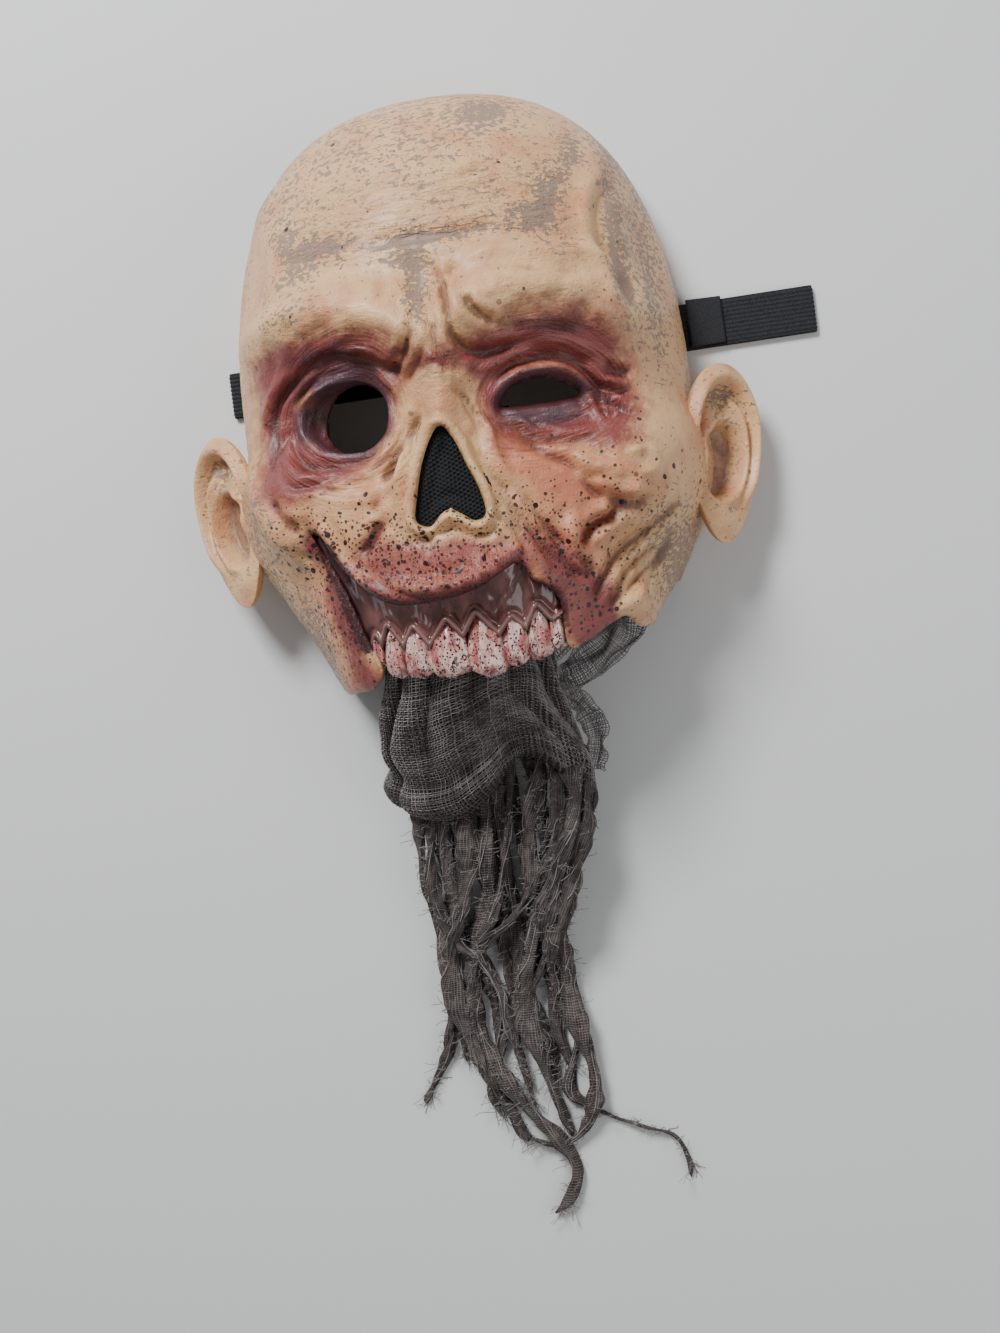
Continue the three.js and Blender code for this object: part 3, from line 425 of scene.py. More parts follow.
# %% Lines of the face
FURROWS = [  # width, depth (down is negative), line in millimetres from the face's middle
    (1.7, -1.5, [(-65, 6), (-61, 13), (-54, 17), (-46, 19), (-37, 18), (-28, 14), (-23, 8),
                 (-20, 1), (-20, -4)]),
    (2.0, 1.3, [(-60, -1), (-60, 8), (-55, 14), (-47, 16), (-37, 16), (-28, 12), (-23, 5),
                (-23, -2), (-28, -10), (-36, -13), (-48, -11), (-56, -6), (-60, -1)]),
    (2.0, -1.2, [(-75, 3), (-72, 11), (-65, 17), (-56, 22), (-45, 23), (-34, 21), (-26, 17),
                 (-19, 12)]),
    (1.8, -1.1, [(-77, -3), (-76, 6), (-71, 14), (-64, 19), (-58, 22)]),
    (1.8, -1.5, [(-75, -17), (-75, -8), (-74, 0), (-72, 8), (-68, 14)]),
    (1.3, -0.8, [(-69, -18), (-71, -9), (-69, -2), (-65, 4)]),
    (2.0, -1.3, [(-65, -3), (-63, -10), (-58, -15), (-49, -17), (-40, -17), (-32, -15), (-24, -12)]),
    (1.6, -0.8, [(-71, -19), (-65, -23), (-56, -23), (-45, -21), (-35, -19), (-26, -16)]),
    (1.3, -0.8, [(-86, -20), (-85, -11), (-79, -2)]),
    (1.3, -0.7, [(-80, -23), (-81, -16), (-77, -10)]),
    (2.4, -1.8, [(-11, -1), (-15, -7), (-19, -15), (-24, -22), (-31, -27)]),
    (1.6, -1.7, [(-9, -2), (-14, -10), (-16, -20), (-19, -31), (-21, -41)]),
    (2.0, -1.1, [(-49, 25), (-42, 25), (-31, 21), (-24, 17), (-18, 14), (-12, 12)]),
    (2.1, -1.1, [(-8, 31), (-9, 24), (-13, 18), (-18, 15), (-21, 14)]),
    (1.8, -0.7, [(-3, 20), (-7, 15), (-11, 12), (-14, 8)]),
    (1.8, -1.1, [(0, 32), (1, 26), (1, 20), (4, 15), (7, 12), (9, 13)]),
    (2.1, -1.4, [(7, 30), (7, 25), (8, 21), (12, 17), (17, 16), (24, 17), (32, 19)]),
    (0.8, -0.5, [(3, 13), (2, 4)]),
    (2.0, 1.2, [(-60, -39), (-56, -40), (-53, -46), (-51, -52), (-47, -58), (-41, -64), (-35, -70)]),
    (2.4, -1.3, [(-29, -41), (-33, -45), (-37, -50), (-42, -54)]),
    (1.2, -0.8, [(-69, -46), (-66, -49), (-62, -51)]),
    (1.8, -1.2, [(-38, -62), (-31, -68), (-23, -72), (-13, -74), (-2, -74), (7, -72), (15, -69),
                 (21, -64)]),
    (1.1, -0.7, [(-15, -66), (-11, -70), (-6, -72)]),
    (1.1, -0.7, [(-9, -63), (-5, -68), (1, -71)]),
    (1.1, -0.7, [(2, -62), (4, -67), (9, -70)]),
    (1.1, -0.7, [(9, -58), (10, -63), (13, -67)]),
    (1.3, -0.9, [(-21, -49), (-19, -52), (-13, -51), (-7, -49), (-2, -49), (3, -52), (10, -53),
                 (16, -51)]),
    (1.2, -0.7, [(-21, -41), (-23, -46), (-22, -51), (-19, -55)]),
    (1.5, -1.2, [(4, 5), (8, 0), (11, -7), (13, -14), (15, -21)]),
    (1.3, -0.8, [(7, 6), (11, 2), (15, -6), (18, -13)]),
    (1.1, -0.6, [(-8, 11), (-4, 13), (1, 13), (5, 10), (8, 10)]),
    (2.1, 1.5, [(19, -3), (22, 2), (27, 7), (35, 9), (44, 9), (50, 6), (54, 1), (57, -5), (62, -12)]),
    (1.8, -1.6, [(18, 2), (22, 7), (28, 11), (36, 12), (44, 12), (52, 8), (57, 3), (62, -2),
                 (67, -8)]),
    (1.6, -2.1, [(54, 1), (57, -4), (60, -9), (63, -13)]),
    (1.3, 1.0, [(19, -3), (25, -6), (33, -6), (42, -6), (50, -4), (53, -4)]),
    (1.8, -1.2, [(21, -6), (25, -12), (30, -17), (40, -20), (49, -20), (56, -19), (62, -16)]),
    (1.2, -0.8, [(24, -9), (29, -14), (37, -18), (46, -18)]),
    (1.2, -0.7, [(29, -8), (35, -14), (42, -17)]),
    (1.2, -0.8, [(38, -11), (44, -12), (50, -10), (53, -8)]),
    (2.0, -1.0, [(19, -4), (21, -12), (26, -18), (33, -22), (41, -26), (47, -28)]),
    (1.6, -0.8, [(30, -20), (37, -26), (43, -29), (49, -35)]),
    (1.5, -1.6, [(56, -1), (61, -5), (68, -8)]),
    (1.5, -1.5, [(58, 2), (64, -1), (71, -3)]),
    (1.4, -1.4, [(61, 6), (66, 5), (72, 4)]),
    (1.4, -1.2, [(62, 9), (68, 7), (73, 7)]),
    (1.5, -1.4, [(64, -7), (68, -10), (73, -12)]),
    (2.0, -1.0, [(33, 16), (40, 16), (47, 15), (54, 11), (59, 9)]),
    (1.3, -1.0, [(7, 4), (10, -1), (13, -8), (14, -13), (16, -16)]),
    (1.3, -0.8, [(10, -11), (11, -17), (13, -22), (15, -23)]),
    (1.6, -1.2, [(12, -23), (15, -31), (19, -38), (22, -44), (26, -51), (30, -59), (34, -66),
                 (38, -73)]),
    (2.2, -1.5, [(15, -25), (20, -34), (25, -41), (28, -47), (33, -54), (38, -60), (43, -66)]),
    (1.3, -0.8, [(13, -31), (16, -38), (20, -45), (25, -53), (26, -57)]),
    (1.4, -1.0, [(14, -43), (17, -47), (21, -52), (24, -58), (25, -61)]),
    (1.7, -2.1, [(62, -48), (56, -51), (51, -53), (47, -57), (45, -62)]),
    (1.6, 0.8, [(64, -50), (58, -53), (53, -57), (49, -61)]),
    (2.2, 1.0, [(44, -24), (52, -30), (60, -32), (65, -35), (68, -40), (67, -44), (64, -46)]),
    (2.0, 0.9, [(51, -36), (55, -40), (56, -45), (52, -48)]),
    (1.8, 0.9, [(67, -30), (71, -27), (76, -28), (78, -33), (74, -36), (69, -35)]),
    (2.0, -1.4, [(89, -43), (77, -53), (67, -59), (60, -63), (53, -71), (49, -79), (47, -88)]),
    (1.9, -1.4, [(87, -52), (77, -60), (68, -66), (60, -72), (55, -81), (50, -90)]),
    (1.8, -1.3, [(83, -59), (76, -65), (67, -72), (61, -79), (55, -86)]),
    (1.6, -1.3, [(79, -64), (73, -70), (68, -78), (67, -84)]),
    (1.5, -1.0, [(78, -68), (73, -76), (71, -83)]),
    (1.6, -1.3, [(40, -63), (44, -66), (47, -70), (45, -73)]),
    (1.5, -1.0, [(36, -61), (39, -68), (44, -74)]),
    (2.6, -0.7, [(-24, 65), (-12, 66), (-2, 65), (9, 64), (20, 65), (32, 67)]),
    (1.6, -0.5, [(8, 85), (18, 87), (26, 90)]),
    (1.3, -0.5, [(-7, 80), (6, 80), (20, 81), (31, 83)]),
    (1.3, -0.5, [(-10, 77), (6, 76), (21, 77)]),
    (1.3, -0.5, [(-12, 73), (1, 72), (14, 72), (25, 73)]),
    (1.7, -1.8, [(1, 53), (4, 46), (6, 35), (7, 25)]),
    (1.5, -0.9, [(12, 52), (8, 47), (6, 41)]),
    (1.8, -1.5, [(14, 39), (16, 32), (20, 28), (25, 26)]),
    (3.4, 1.4, [(11, 50), (20, 54), (33, 54), (47, 51), (60, 52), (69, 48), (74, 39)]),
    (2.2, 1.2, [(-12, 4), (-15, -8), (-18, -22), (-21, -36), (-23, -44)]),
    (2.4, 1.0, [(-17, -2), (-22, -14), (-28, -26), (-33, -38)]),
    (2.0, -1.0, [(-20, -10), (-25, -22), (-31, -34), (-36, -42)]),
    (2.0, 1.1, [(10, 4), (13, -8), (16, -20), (21, -34), (27, -48), (34, -62)]),
    (5.0, 1.4, [(-83, -16), (-81, -30), (-73, -42), (-65, -50)]),
    (2.2, -1.0, [(-76, -24), (-72, -34), (-64, -42)]),
    (3.0, 1.3, [(50, -29), (58, -36), (66, -41), (73, -38)]),
    (2.2, -1.1, [(47, -35), (55, -43), (65, -47), (73, -45)]),
    (2.6, 1.2, [(46, -46), (42, -54), (41, -62), (45, -68)]),
    (3.0, -1.6, [(75, 88), (70, 78), (68, 67), (69, 57), (72, 48), (75, 36), (75, 25)]),
]


def smooth_line(points, steps=4, loop=False):
    """A smooth line through points."""
    p = np.asarray(points, float)
    ends = (p[-1:], p[:2]) if loop else (2 * p[:1] - p[1:2], 2 * p[-1:] - p[-2:-1])
    p = np.vstack([ends[0], p, ends[1]])
    t = np.linspace(0, 1, steps, endpoint=False)[:, None]
    a, b, c, d = (p[i:len(p) - 3 + i, None] for i in range(4))
    line = 0.5 * (2 * b + (c - a) * t + (2 * a - 5 * b + 4 * c - d) * t**2
                  + (3 * b - a - 3 * c + d) * t**3)
    return np.vstack([line.reshape(-1, p.shape[1]), p[-2]])


def furrows(x, y):
    """The summed depth of the lines at each place."""
    points, total = np.column_stack([x, y]), np.zeros(len(x))
    for width, depth, line in FURROWS:
        line = smooth_line(line)
        margin = 5 * width
        close = ((points > line.min(0) - margin) & (points < line.max(0) + margin)).all(1)
        gap, way, _ = nearest(points[close], line)
        ring = np.allclose(line[0], line[-1])
        fade = 1 if ring else soft_step(np.minimum(way, 1 - way), 0, 0.22) * 0.9 + 0.1
        flanks = bell(gap, 2.1 * width, 1.1 * width)
        total[close] += depth * fade * (bell(gap, 0, width) - 0.3 * flanks)
    return total


print(len(FURROWS), "lines of the face")

# %% [markdown]
# The holes and the torn lower edge are outlines in front view, in shares like the broad forms.
# The edges of the real openings flow round without corners, so each outline is one smooth line.

# %% Holes and edges
LEFT_EYE = [(-0.55, 0.01), (-0.5, 0.07), (-0.41, 0.09), (-0.32, 0.08), (-0.27, 0.03),
            (-0.28, -0.04), (-0.34, -0.09), (-0.43, -0.09), (-0.51, -0.05)]
RIGHT_EYE = [(0.22, -0.03), (0.26, 0.02), (0.34, 0.04), (0.42, 0.04), (0.49, 0.02), (0.53, -0.01),
             (0.47, -0.03), (0.37, -0.04), (0.28, -0.04)]
NOSE = [(-0.02, -0.1), (0.03, -0.15), (0.06, -0.24), (0.1, -0.34), (0.11, -0.42), (0.07, -0.44),
        (0.02, -0.41), (-0.02, -0.39), (-0.06, -0.4), (-0.11, -0.44), (-0.16, -0.41),
        (-0.14, -0.32), (-0.11, -0.22), (-0.07, -0.14)]
LOWER_EDGE = [(-1.4, -0.93), (-0.77, -0.96), (-0.67, -1.0), (-0.56, -1.0), (-0.47, -0.99),
              (-0.42, -0.93), (-0.46, -0.82), (-0.5, -0.71), (-0.54, -0.6), (-0.63, -0.39),
              (-0.56, -0.45), (-0.49, -0.55), (-0.42, -0.63), (-0.32, -0.69), (-0.16, -0.71),
              (0.0, -0.7), (0.12, -0.66), (0.21, -0.61), (0.25, -0.67), (0.3, -0.7),
              (0.35, -0.76), (0.36, -0.92), (0.42, -0.92), (0.48, -0.89), (0.56, -0.85),
              (0.6, -0.84), (0.64, -0.88), (0.7, -0.88), (0.74, -0.83), (0.8, -0.76), (0.9, -0.7),
              (1.4, -0.66)]
LOW = -1.1 * JAW_DROP


def outline_of(places, loop=True):
    return smooth_line([place(pair) for pair in places], 6, loop)


left_eye, right_eye, nose_hole = (outline_of(hole) for hole in (LEFT_EYE, RIGHT_EYE, NOSE))
lower_edge = outline_of(LOWER_EDGE, loop=False)


def inside(points, outline):
    """Which points an outline goes round."""
    x, y = points.T
    odd = np.zeros(len(points), bool)
    for (ax, ay), (bx, by) in zip(outline, np.roll(outline, -1, 0)):
        crosses = (ay > y) != (by > y)
        odd ^= crosses & (x < (bx - ax) * (y - ay) / ((by - ay) or 1e-9) + ax)
    return odd


# %% [markdown]
# The skin is one grid, wide round the sides and tall from the jaw to the crown. On the flat grid
# a hole is a drawn outline: the faces whose middles lie inside it are deleted, and the stepped
# border that they leave is laid on the outline. That gives clean lid edges without a boolean, and
# keeps the whole skin in quads.

# %% A flat map of the face
MAP_SCALE = 100.0  # millimetres on the map from the middle to the rim
SIDE_STEPS = np.linspace(0, 1, 400)
COLUMN_SPREAD = 0.62, 0.38  # columns are closer over the face than down the sides


def side_angle(side):
    return (math.pi / 2) * (COLUMN_SPREAD[0] * side + COLUMN_SPREAD[1] * side**3)


def side_of(x, y):
    """The column, from -1 to 1, in which a place in front view lies."""
    width, _ = section(y)
    angle = np.arcsin(np.clip(np.abs(x) / width, 0, 1) ** (SECTION_POWER / 2))
    return np.sign(x) * np.interp(angle, side_angle(SIDE_STEPS), SIDE_STEPS)


def on_map(line):
    line = np.asarray(line)
    return np.column_stack([side_of(line[:, 0], line[:, 1]) * MAP_SCALE, line[:, 1]])


def blunt(value, power):
    """A sine or cosine with blunter or sharper turns, for sections that aren't quite round."""
    return np.sign(value) * np.abs(value) ** power


def skin_point(side, y):
    """The place on the face of a column and a height, without the lines."""
    width, depth = section(y)
    angle = side_angle(side)
    x = width * blunt(np.sin(angle), 2 / SECTION_POWER)
    share = np.clip(np.cos(angle), 0, 1) ** (2 / SECTION_POWER)
    z = depth * share + relief(x, y) * soft_step(share, 0.12, 0.5)
    return np.column_stack([x, y, z])


map_lower = on_map(lower_edge)
map_cuts = [on_map(hole) for hole in (left_eye, right_eye, nose_hole)]
map_cuts.append(np.vstack([map_lower, [(200, -300), (-200, -300)]]))

# %% [markdown]
# The fine relief is pressed in over the broad face: the drawn lines, lids and rims that turn in
# at the holes, and an uneven grain that differs from zone to zone. Noise that is stretched along
# one direction gives strands and wrinkles that run that way, and none has to be drawn by itself.

# %% How deep each place of the skin lies
FURROW_STRENGTH = 2.0
LEFT_EYE_X, RIGHT_EYE_X = -41, 37


def hills(points, size, seed):
    """Uneven soft hills of one size, from -1 to 1, the same at each run."""
    return np.array([noise.noise(Vector(point)) for point in points / size + 17.3 * seed])


def edge_gaps(points):
    """How far points lie from the left eye's, right eye's and nose hole's edge and the lower one."""
    edges = left_eye, right_eye, nose_hole, lower_edge
    return [nearest(points[:, :2], edge)[0] for edge in edges]


def socket_rings(x, y, gap, middle):
    """Uneven creases that run round an eye, weaker away from it."""
    angle = np.arctan2(y, x - middle)
    around = np.column_stack([2.2 * np.cos(angle), 2.2 * np.sin(angle), gap / 3.1])
    return hills(around, 1, middle) * soft_step(gap, 4, 8) * (1 - soft_step(gap, 18, 34))


def rim_relief(x, y, left, right, nose, lip):
    """The skin turns in at an edge and swells beside it, and creases run round the eyes."""
    mouth = soft_step(x, -44, -34) * (1 - soft_step(x, 14, 22)) * soft_step(y, -80, -74)
    inner_half = soft_step(x, -30, -20)
    return (1.2 * bell(left, 7, 2.4) - 5.5 * bell(left, 0, 3.6)
            + 0.8 * bell(right, 5, 1.8) - 3.6 * bell(right, 0, 2.4)
            + 2.1 * bell(nose, 2.1, 1.5) - 1.3 * bell(nose, 5.6, 2.0) - 1.2 * bell(nose, 0, 1.1)
            + 1.6 * mouth * bell(lip, 5, 3.4) - 1.1 * bell(lip, 0, 1.4)
            + 1.1 * socket_rings(x, y, left, LEFT_EYE_X) * (1 - 0.5 * inner_half)
            + 0.7 * socket_rings(x, y, right, RIGHT_EYE_X))


def upper_grain(points):
    """Rows on the forehead, lumps on brows and cheekbones, and folds of the frown and sockets."""
    x, y, _ = points.T
    forehead = soft_step(y, 50, 62) * (1 - soft_step(y, 92, 116)) * (1 - soft_step(abs(x), 40, 70))
    brow = hill(x, y, -43, 42, 40, 14) + hill(x, y, 42, 38, 40, 14)
    frown = hill(x, y, -4, 34, 12, 26)
    cheek = hill(x, y, 60, -36, 24, 18) + 0.6 * hill(x, y, -72, -38, 16, 26)
    socket = hill(x, y, -44, -4, 38, 26) + hill(x, y, 44, -8, 38, 28)
    return (0.5 * forehead * hills(points * (0.2, 1, 0.6), 2.4, 1)
            + brow * (0.5 * hills(points * (0.8, 1, 1), 2.2, 2) + 1.9 * hills(points, 9, 3))
            + 1.1 * frown * hills(points * (1, 0.22, 0.6), 3.0, 15)
            + cheek * (1.5 * hills(points, 6.5, 4) + 0.6 * hills(points, 2.8, 14))
            + 0.32 * socket * hills(points * (0.6, 1, 1), 3.4, 5))


def lower_grain(points):
    """Strands of the torn neck, which slant at the right, and folds of the jaw and the lip."""
    x, y, _ = points.T
    neck = hill(x, y, 64, -66, 22, 11, 38) + 0.7 * hill(x, y, -54, -80, 10, 26)
    slanting = np.column_stack([0.6 * x - 0.8 * y, 0.2 * (0.8 * x + 0.6 * y), 0 * x])
    strands = np.where(x[:, None] > 0, slanting, points * (1, 0.2, 0))
    jaw = hill(x, y, -56, -72, 18, 28) + hill(x, y, 60, -70, 28, 22)
    lip = hill(x, y, -6, -62, 34, 13)
    return (1.6 * neck * hills(strands, 3.2, 21)
            + 0.7 * jaw * hills(points * (1, 0.4, 1), 3.4, 6)
            + lip * (1.2 * hills(points * (1.2, 0.45, 1), 2.8, 16) + 1.0 * hills(points, 6, 17))
            + 2.6 * hill(x, y, 64, -86, 6, 7))


def fine_relief(points):
    """Lines, lids, rims and the grain of the skin."""
    x, y, _ = points.T
    return (FURROW_STRENGTH * furrows(x, y) + rim_relief(x, y, *edge_gaps(points))
            + upper_grain(points) + lower_grain(points) + 0.14 * hills(points, 5, 7))


at_eyes = np.array([(LEFT_EYE_X, 0, 0), (RIGHT_EYE_X, 0, 0)], float)
print("relief at the eyes", fine_relief(at_eyes).round(2))

# %% [markdown]
# Now the grid is laid out. Rows crowd towards the crown, where the head closes over, and columns
# stop a little early where the strap passes under the rim. The map is cut and fitted first, while
# it is flat, and only then are its points moved to the face.

# %% Rows and columns of the skin
SKIN_COLUMNS, FACE_ROWS, FOREHEAD_ROWS = 214, 148, 88
SKIN_ROWS = FACE_ROWS + FOREHEAD_ROWS
FOREHEAD_START = 0.38 * CROWN_RISE
ARCH_MIDDLE, ARCH_HALF, ARCH_RISE = 32.7, 12.5, 5.8  # the rim rises over the strap


def row_height(along):
    """Rows are even over the face, and closer towards the crown."""
    row = along * SKIN_ROWS
    even = LOW + (FOREHEAD_START - LOW) * row / FACE_ROWS
    turn = np.clip((row - FACE_ROWS) / FOREHEAD_ROWS, 0, 1)
    opened = FOREHEAD_START + (CROWN_RISE - FOREHEAD_START) * np.sin(math.pi / 2 * turn)
    return np.where(row < FACE_ROWS, even, opened)


def side_limit(y):
    """How far round the columns go: less over the strap."""
    rise = ARCH_RISE * (1 - soft_step(np.abs(y - ARCH_MIDDLE), ARCH_HALF, ARCH_HALF + 4))
    _, depth = section(y)
    angle = np.arccos(np.clip(rise / np.maximum(depth, 1), 0, 1) ** (SECTION_POWER / 2))
    return np.interp(angle, side_angle(SIDE_STEPS), SIDE_STEPS)


def neighbours(grid):
    """The points below, above, left and right of each inner point."""
    return grid[2:, 1:-1], grid[:-2, 1:-1], grid[1:-1, 2:], grid[1:-1, :-2]


def fitted(flat):
    """Lays the stepped border of the cut on the outlines and evens the points next to it."""
    grid = flat.reshape(SKIN_ROWS + 1, SKIN_COLUMNS + 1, 2)
    middles = (grid[1:, 1:] + grid[:-1, 1:] + grid[1:, :-1] + grid[:-1, :-1]) / 4
    in_any = np.any([inside(middles.reshape(-1, 2), outline) for outline in map_cuts], 0)
    gone = np.pad(in_any.reshape(SKIN_ROWS, SKIN_COLUMNS), 1)
    corners = gone[1:, 1:], gone[:-1, 1:], gone[1:, :-1], gone[:-1, :-1]
    border = np.any(corners, 0) & ~np.all(corners, 0)
    border[:, (0, -1)] = False
    found = [nearest(grid[border], np.vstack([outline, outline[:1]])) for outline in map_cuts]
    closest = np.argmin([gap for gap, _, _ in found], 0)
    grid[border] = np.array([spot for _, _, spot in found])[closest, np.arange(border.sum())]
    near_border = border.copy()
    for _ in range(4):
        near_border[1:-1, 1:-1] |= np.any(neighbours(near_border), 0)
    moves = near_border[1:-1, 1:-1] & ~border[1:-1, 1:-1]
    for _ in range(6):
        even = sum(neighbours(grid)) / 4
        grid[1:-1, 1:-1][moves] = even[moves]
    return grid.reshape(-1, 2), in_any


skin_bm, across, along = flat_grid(SKIN_COLUMNS, SKIN_ROWS)
heights = row_height(along)
flat_skin, cut = fitted(np.column_stack([(2 * across - 1) * side_limit(heights) * MAP_SCALE, heights]))
print("skin map", len(flat_skin), "points,", cut.sum(), "faces to cut")

# %% [markdown]
# The points then go to the face, and the relief is pressed in square to the surface, as a tool
# presses clay. It fades out at the rim, which has to lie flat on a table.

# %% The skin
RIM_LIFT = 0.25
SIDE_NUDGE, UP_NUDGE = 0.004, 0.4
TOP = CROWN_RISE - 0.1


def skin_shape(side, y):
    points = skin_point(side, y)
    sides = (np.clip(side + nudge, -1, 1) for nudge in (SIDE_NUDGE, -SIDE_NUDGE))
    before, behind = (skin_point(near, y) for near in sides)
    above = skin_point(side, np.minimum(y + UP_NUDGE, TOP))
    below = skin_point(side, np.minimum(y - UP_NUDGE, TOP - 2 * UP_NUDGE))
    out = np.cross(before - behind, above - below)
    out /= np.maximum(np.linalg.norm(out, axis=1), 1e-9)[:, None]
    points += out * (fine_relief(points) * soft_step(points[:, 2], 0.5, 8))[:, None]
    points[:, 2] = np.maximum(points[:, 2], RIM_LIFT)
    return points


put_points(skin_bm, skin_shape(np.clip(flat_skin[:, 0] / MAP_SCALE, -1, 1), flat_skin[:, 1]))
cut_faces = [face for face, gone in zip(skin_bm.faces, cut) if gone]
bmesh.ops.delete(skin_bm, geom=cut_faces, context="FACES")
bmesh.ops.remove_doubles(skin_bm, verts=skin_bm.verts, dist=0.05 * MM)
print("skin", len(skin_bm.faces), "faces after the holes are cut")

# %% [markdown]
# The paint of such a mask is layered: cream latex, orange halos sprayed round the sockets and the
# mouth, pink and red-brown inside them, purple on the lids, dark paint in creases and hollows
# that is also painted shade there, grey flecks and a spatter of nearly black dots. Each layer has a
# mask that is kept on the points, and the shader breaks its edge up with noise. Creases finer than
# the grid are noise in the shader, stretched the way that the skin folds; they dent it, and their
# dents are darkened with dark paint and painted shade.

# %% Skin paint
SKIN_LAYERS = [  # mask, share of the noise at its edge, ramp, strength, colour
    ("halo", 1.0, 0.1, 1.2, 0.85, tint(188, 104, 78)),
    ("pink", 1.0, 0.15, 0.8, 0.85, tint(160, 88, 82)),
    ("sore", 1.0, 0.15, 0.9, 1.0, tint(130, 64, 60)),
    ("dark", 1.0, 0.25, 0.95, 1.0, tint(64, 27, 34)),
    ("bruise", 0.6, 0.2, 0.85, 0.92, tint(78, 58, 70)),
]
DROP_SIZES = [(1.5, 0.6, 0.85), (2.3, 0.5, 0.9), (3.6, 0.26, 1.0)]  # size, share, strength
skin_paint = Paint("painted_latex", Roughness=0.45, Coat_Weight=0.18, Coat_Roughness=0.28)


def skin_creases(paint):
    """Fine creases round the eyes, upright on the lip, slanted on the neck, level on the brow."""
    round_eye = paint.node("ShaderNodeCombineXYZ", {}, {
        "X": paint.mask("ring_gap"), "Y": paint.mask("ring_x"), "Z": paint.mask("ring_y")})
    slanted = paint.node("ShaderNodeMapping", {}, {
        "Vector": paint.places(turn=math.radians(40)), "Scale": (1.5, 0.22, 1)})
    return (paint.mask("rings") * (paint.noise(2.5, 2, 0.55, where=round_eye) - 0.5)
            + paint.mask("upright") * (paint.noise(2.2, 3, 0.6, (1.5, 0.35, 1), 0.6) - 0.5)
            + paint.mask("slanted") * (paint.noise(2.4, 3, 0.6, where=slanted) - 0.5)
            + paint.mask("level") * (paint.noise(2.2, 3, 0.6, (0.25, 1.3, 1), 0.4) - 0.5))


def skin_drops(paint, blotch):
    """Three sizes of dots. Each cell of a pattern has a drop or none, by the chance of its colour."""
    radius = 0.12 + 0.34 * blotch
    drops = 0
    for size, share, strength in DROP_SIZES:
        where = paint.places()
        cell = {"Color": paint.cells(size, "Color", where=where)}
        chance = paint.node("ShaderNodeSeparateColor", {}, cell, "Red")
        spot = 1 - (paint.cells(size, where=where) - radius).step(0.0, 0.06)
        drops = drops + (chance + share * paint.mask("spatter")).step(0.98, 1.0) * spot * strength
    return drops


def build_skin_paint(paint):
    blotch, fine = paint.noise(6, 4, 0.65), paint.noise(1.7, 3, 0.65)
    drift = 0.6 * (blotch - 0.5) + 0.3 * (fine - 0.5)
    uneven = paint.noise(24, 3, 0.6)
    coat = paint.mix(uneven.step(0.4, 0.75), tint(220, 176, 128), tint(204, 140, 102))
    for name, edge, low, high, strength, colour in SKIN_LAYERS:
        coat = paint.mix((paint.mask(name) + edge * drift).step(low, high) * strength, coat, colour)
    creases = skin_creases(paint)
    # Dark paint and painted shade: the dents of the fine creases are darkened.
    coat = paint.mix((0 - creases).step(0.02, 0.2) * 0.55, coat, tint(96, 44, 42))
    # Dark paint and painted shade in the hollows of the relief, the deeper ones darker.
    hollow = (paint.mask("hollow") + 0.5 * drift).step(0.2, 0.95)
    coat = paint.mix(hollow * 0.7, coat, tint(84, 42, 38))
    wash = paint.noise(2.6, 3, 0.6, (1.0, 1.5, 1.2), 0.6)
    flecks = (wash + 0.34 * paint.mask("fleck")).step(0.66, 0.7)
    coat = paint.mix(flecks * 0.8, coat, tint(122, 108, 102))
    drops = skin_drops(paint, blotch)
    paint.color(paint.mix(drops, coat, tint(38, 15, 15)))
    wet = paint.mask("dark") + paint.mask("bruise")
    paint.roughness(0.46 + 0.14 * flecks - 0.08 * wet.step(0.2, 1.0))
    grain = 0.55 * paint.noise(1.1, 3, 0.65) + 0.6 * paint.noise(3.0, 3, 0.6)
    paint.bump(grain - 0.22 * flecks + 0.05 * drops + 2.3 * creases, 0.75)


build_skin_paint(skin_paint)
lining_paint = Paint("bare_latex", Base_Color=tint(196, 168, 138), Roughness=0.6)
print("skin paint", len(skin_paint.tree.nodes), "nodes")

# %% [markdown]
# Each mask is a sum of soft round spots, placed as a painter places the puffs of an airbrush.
# Painting on the mesh by hand would do the same, but spots in a list can be read and moved.

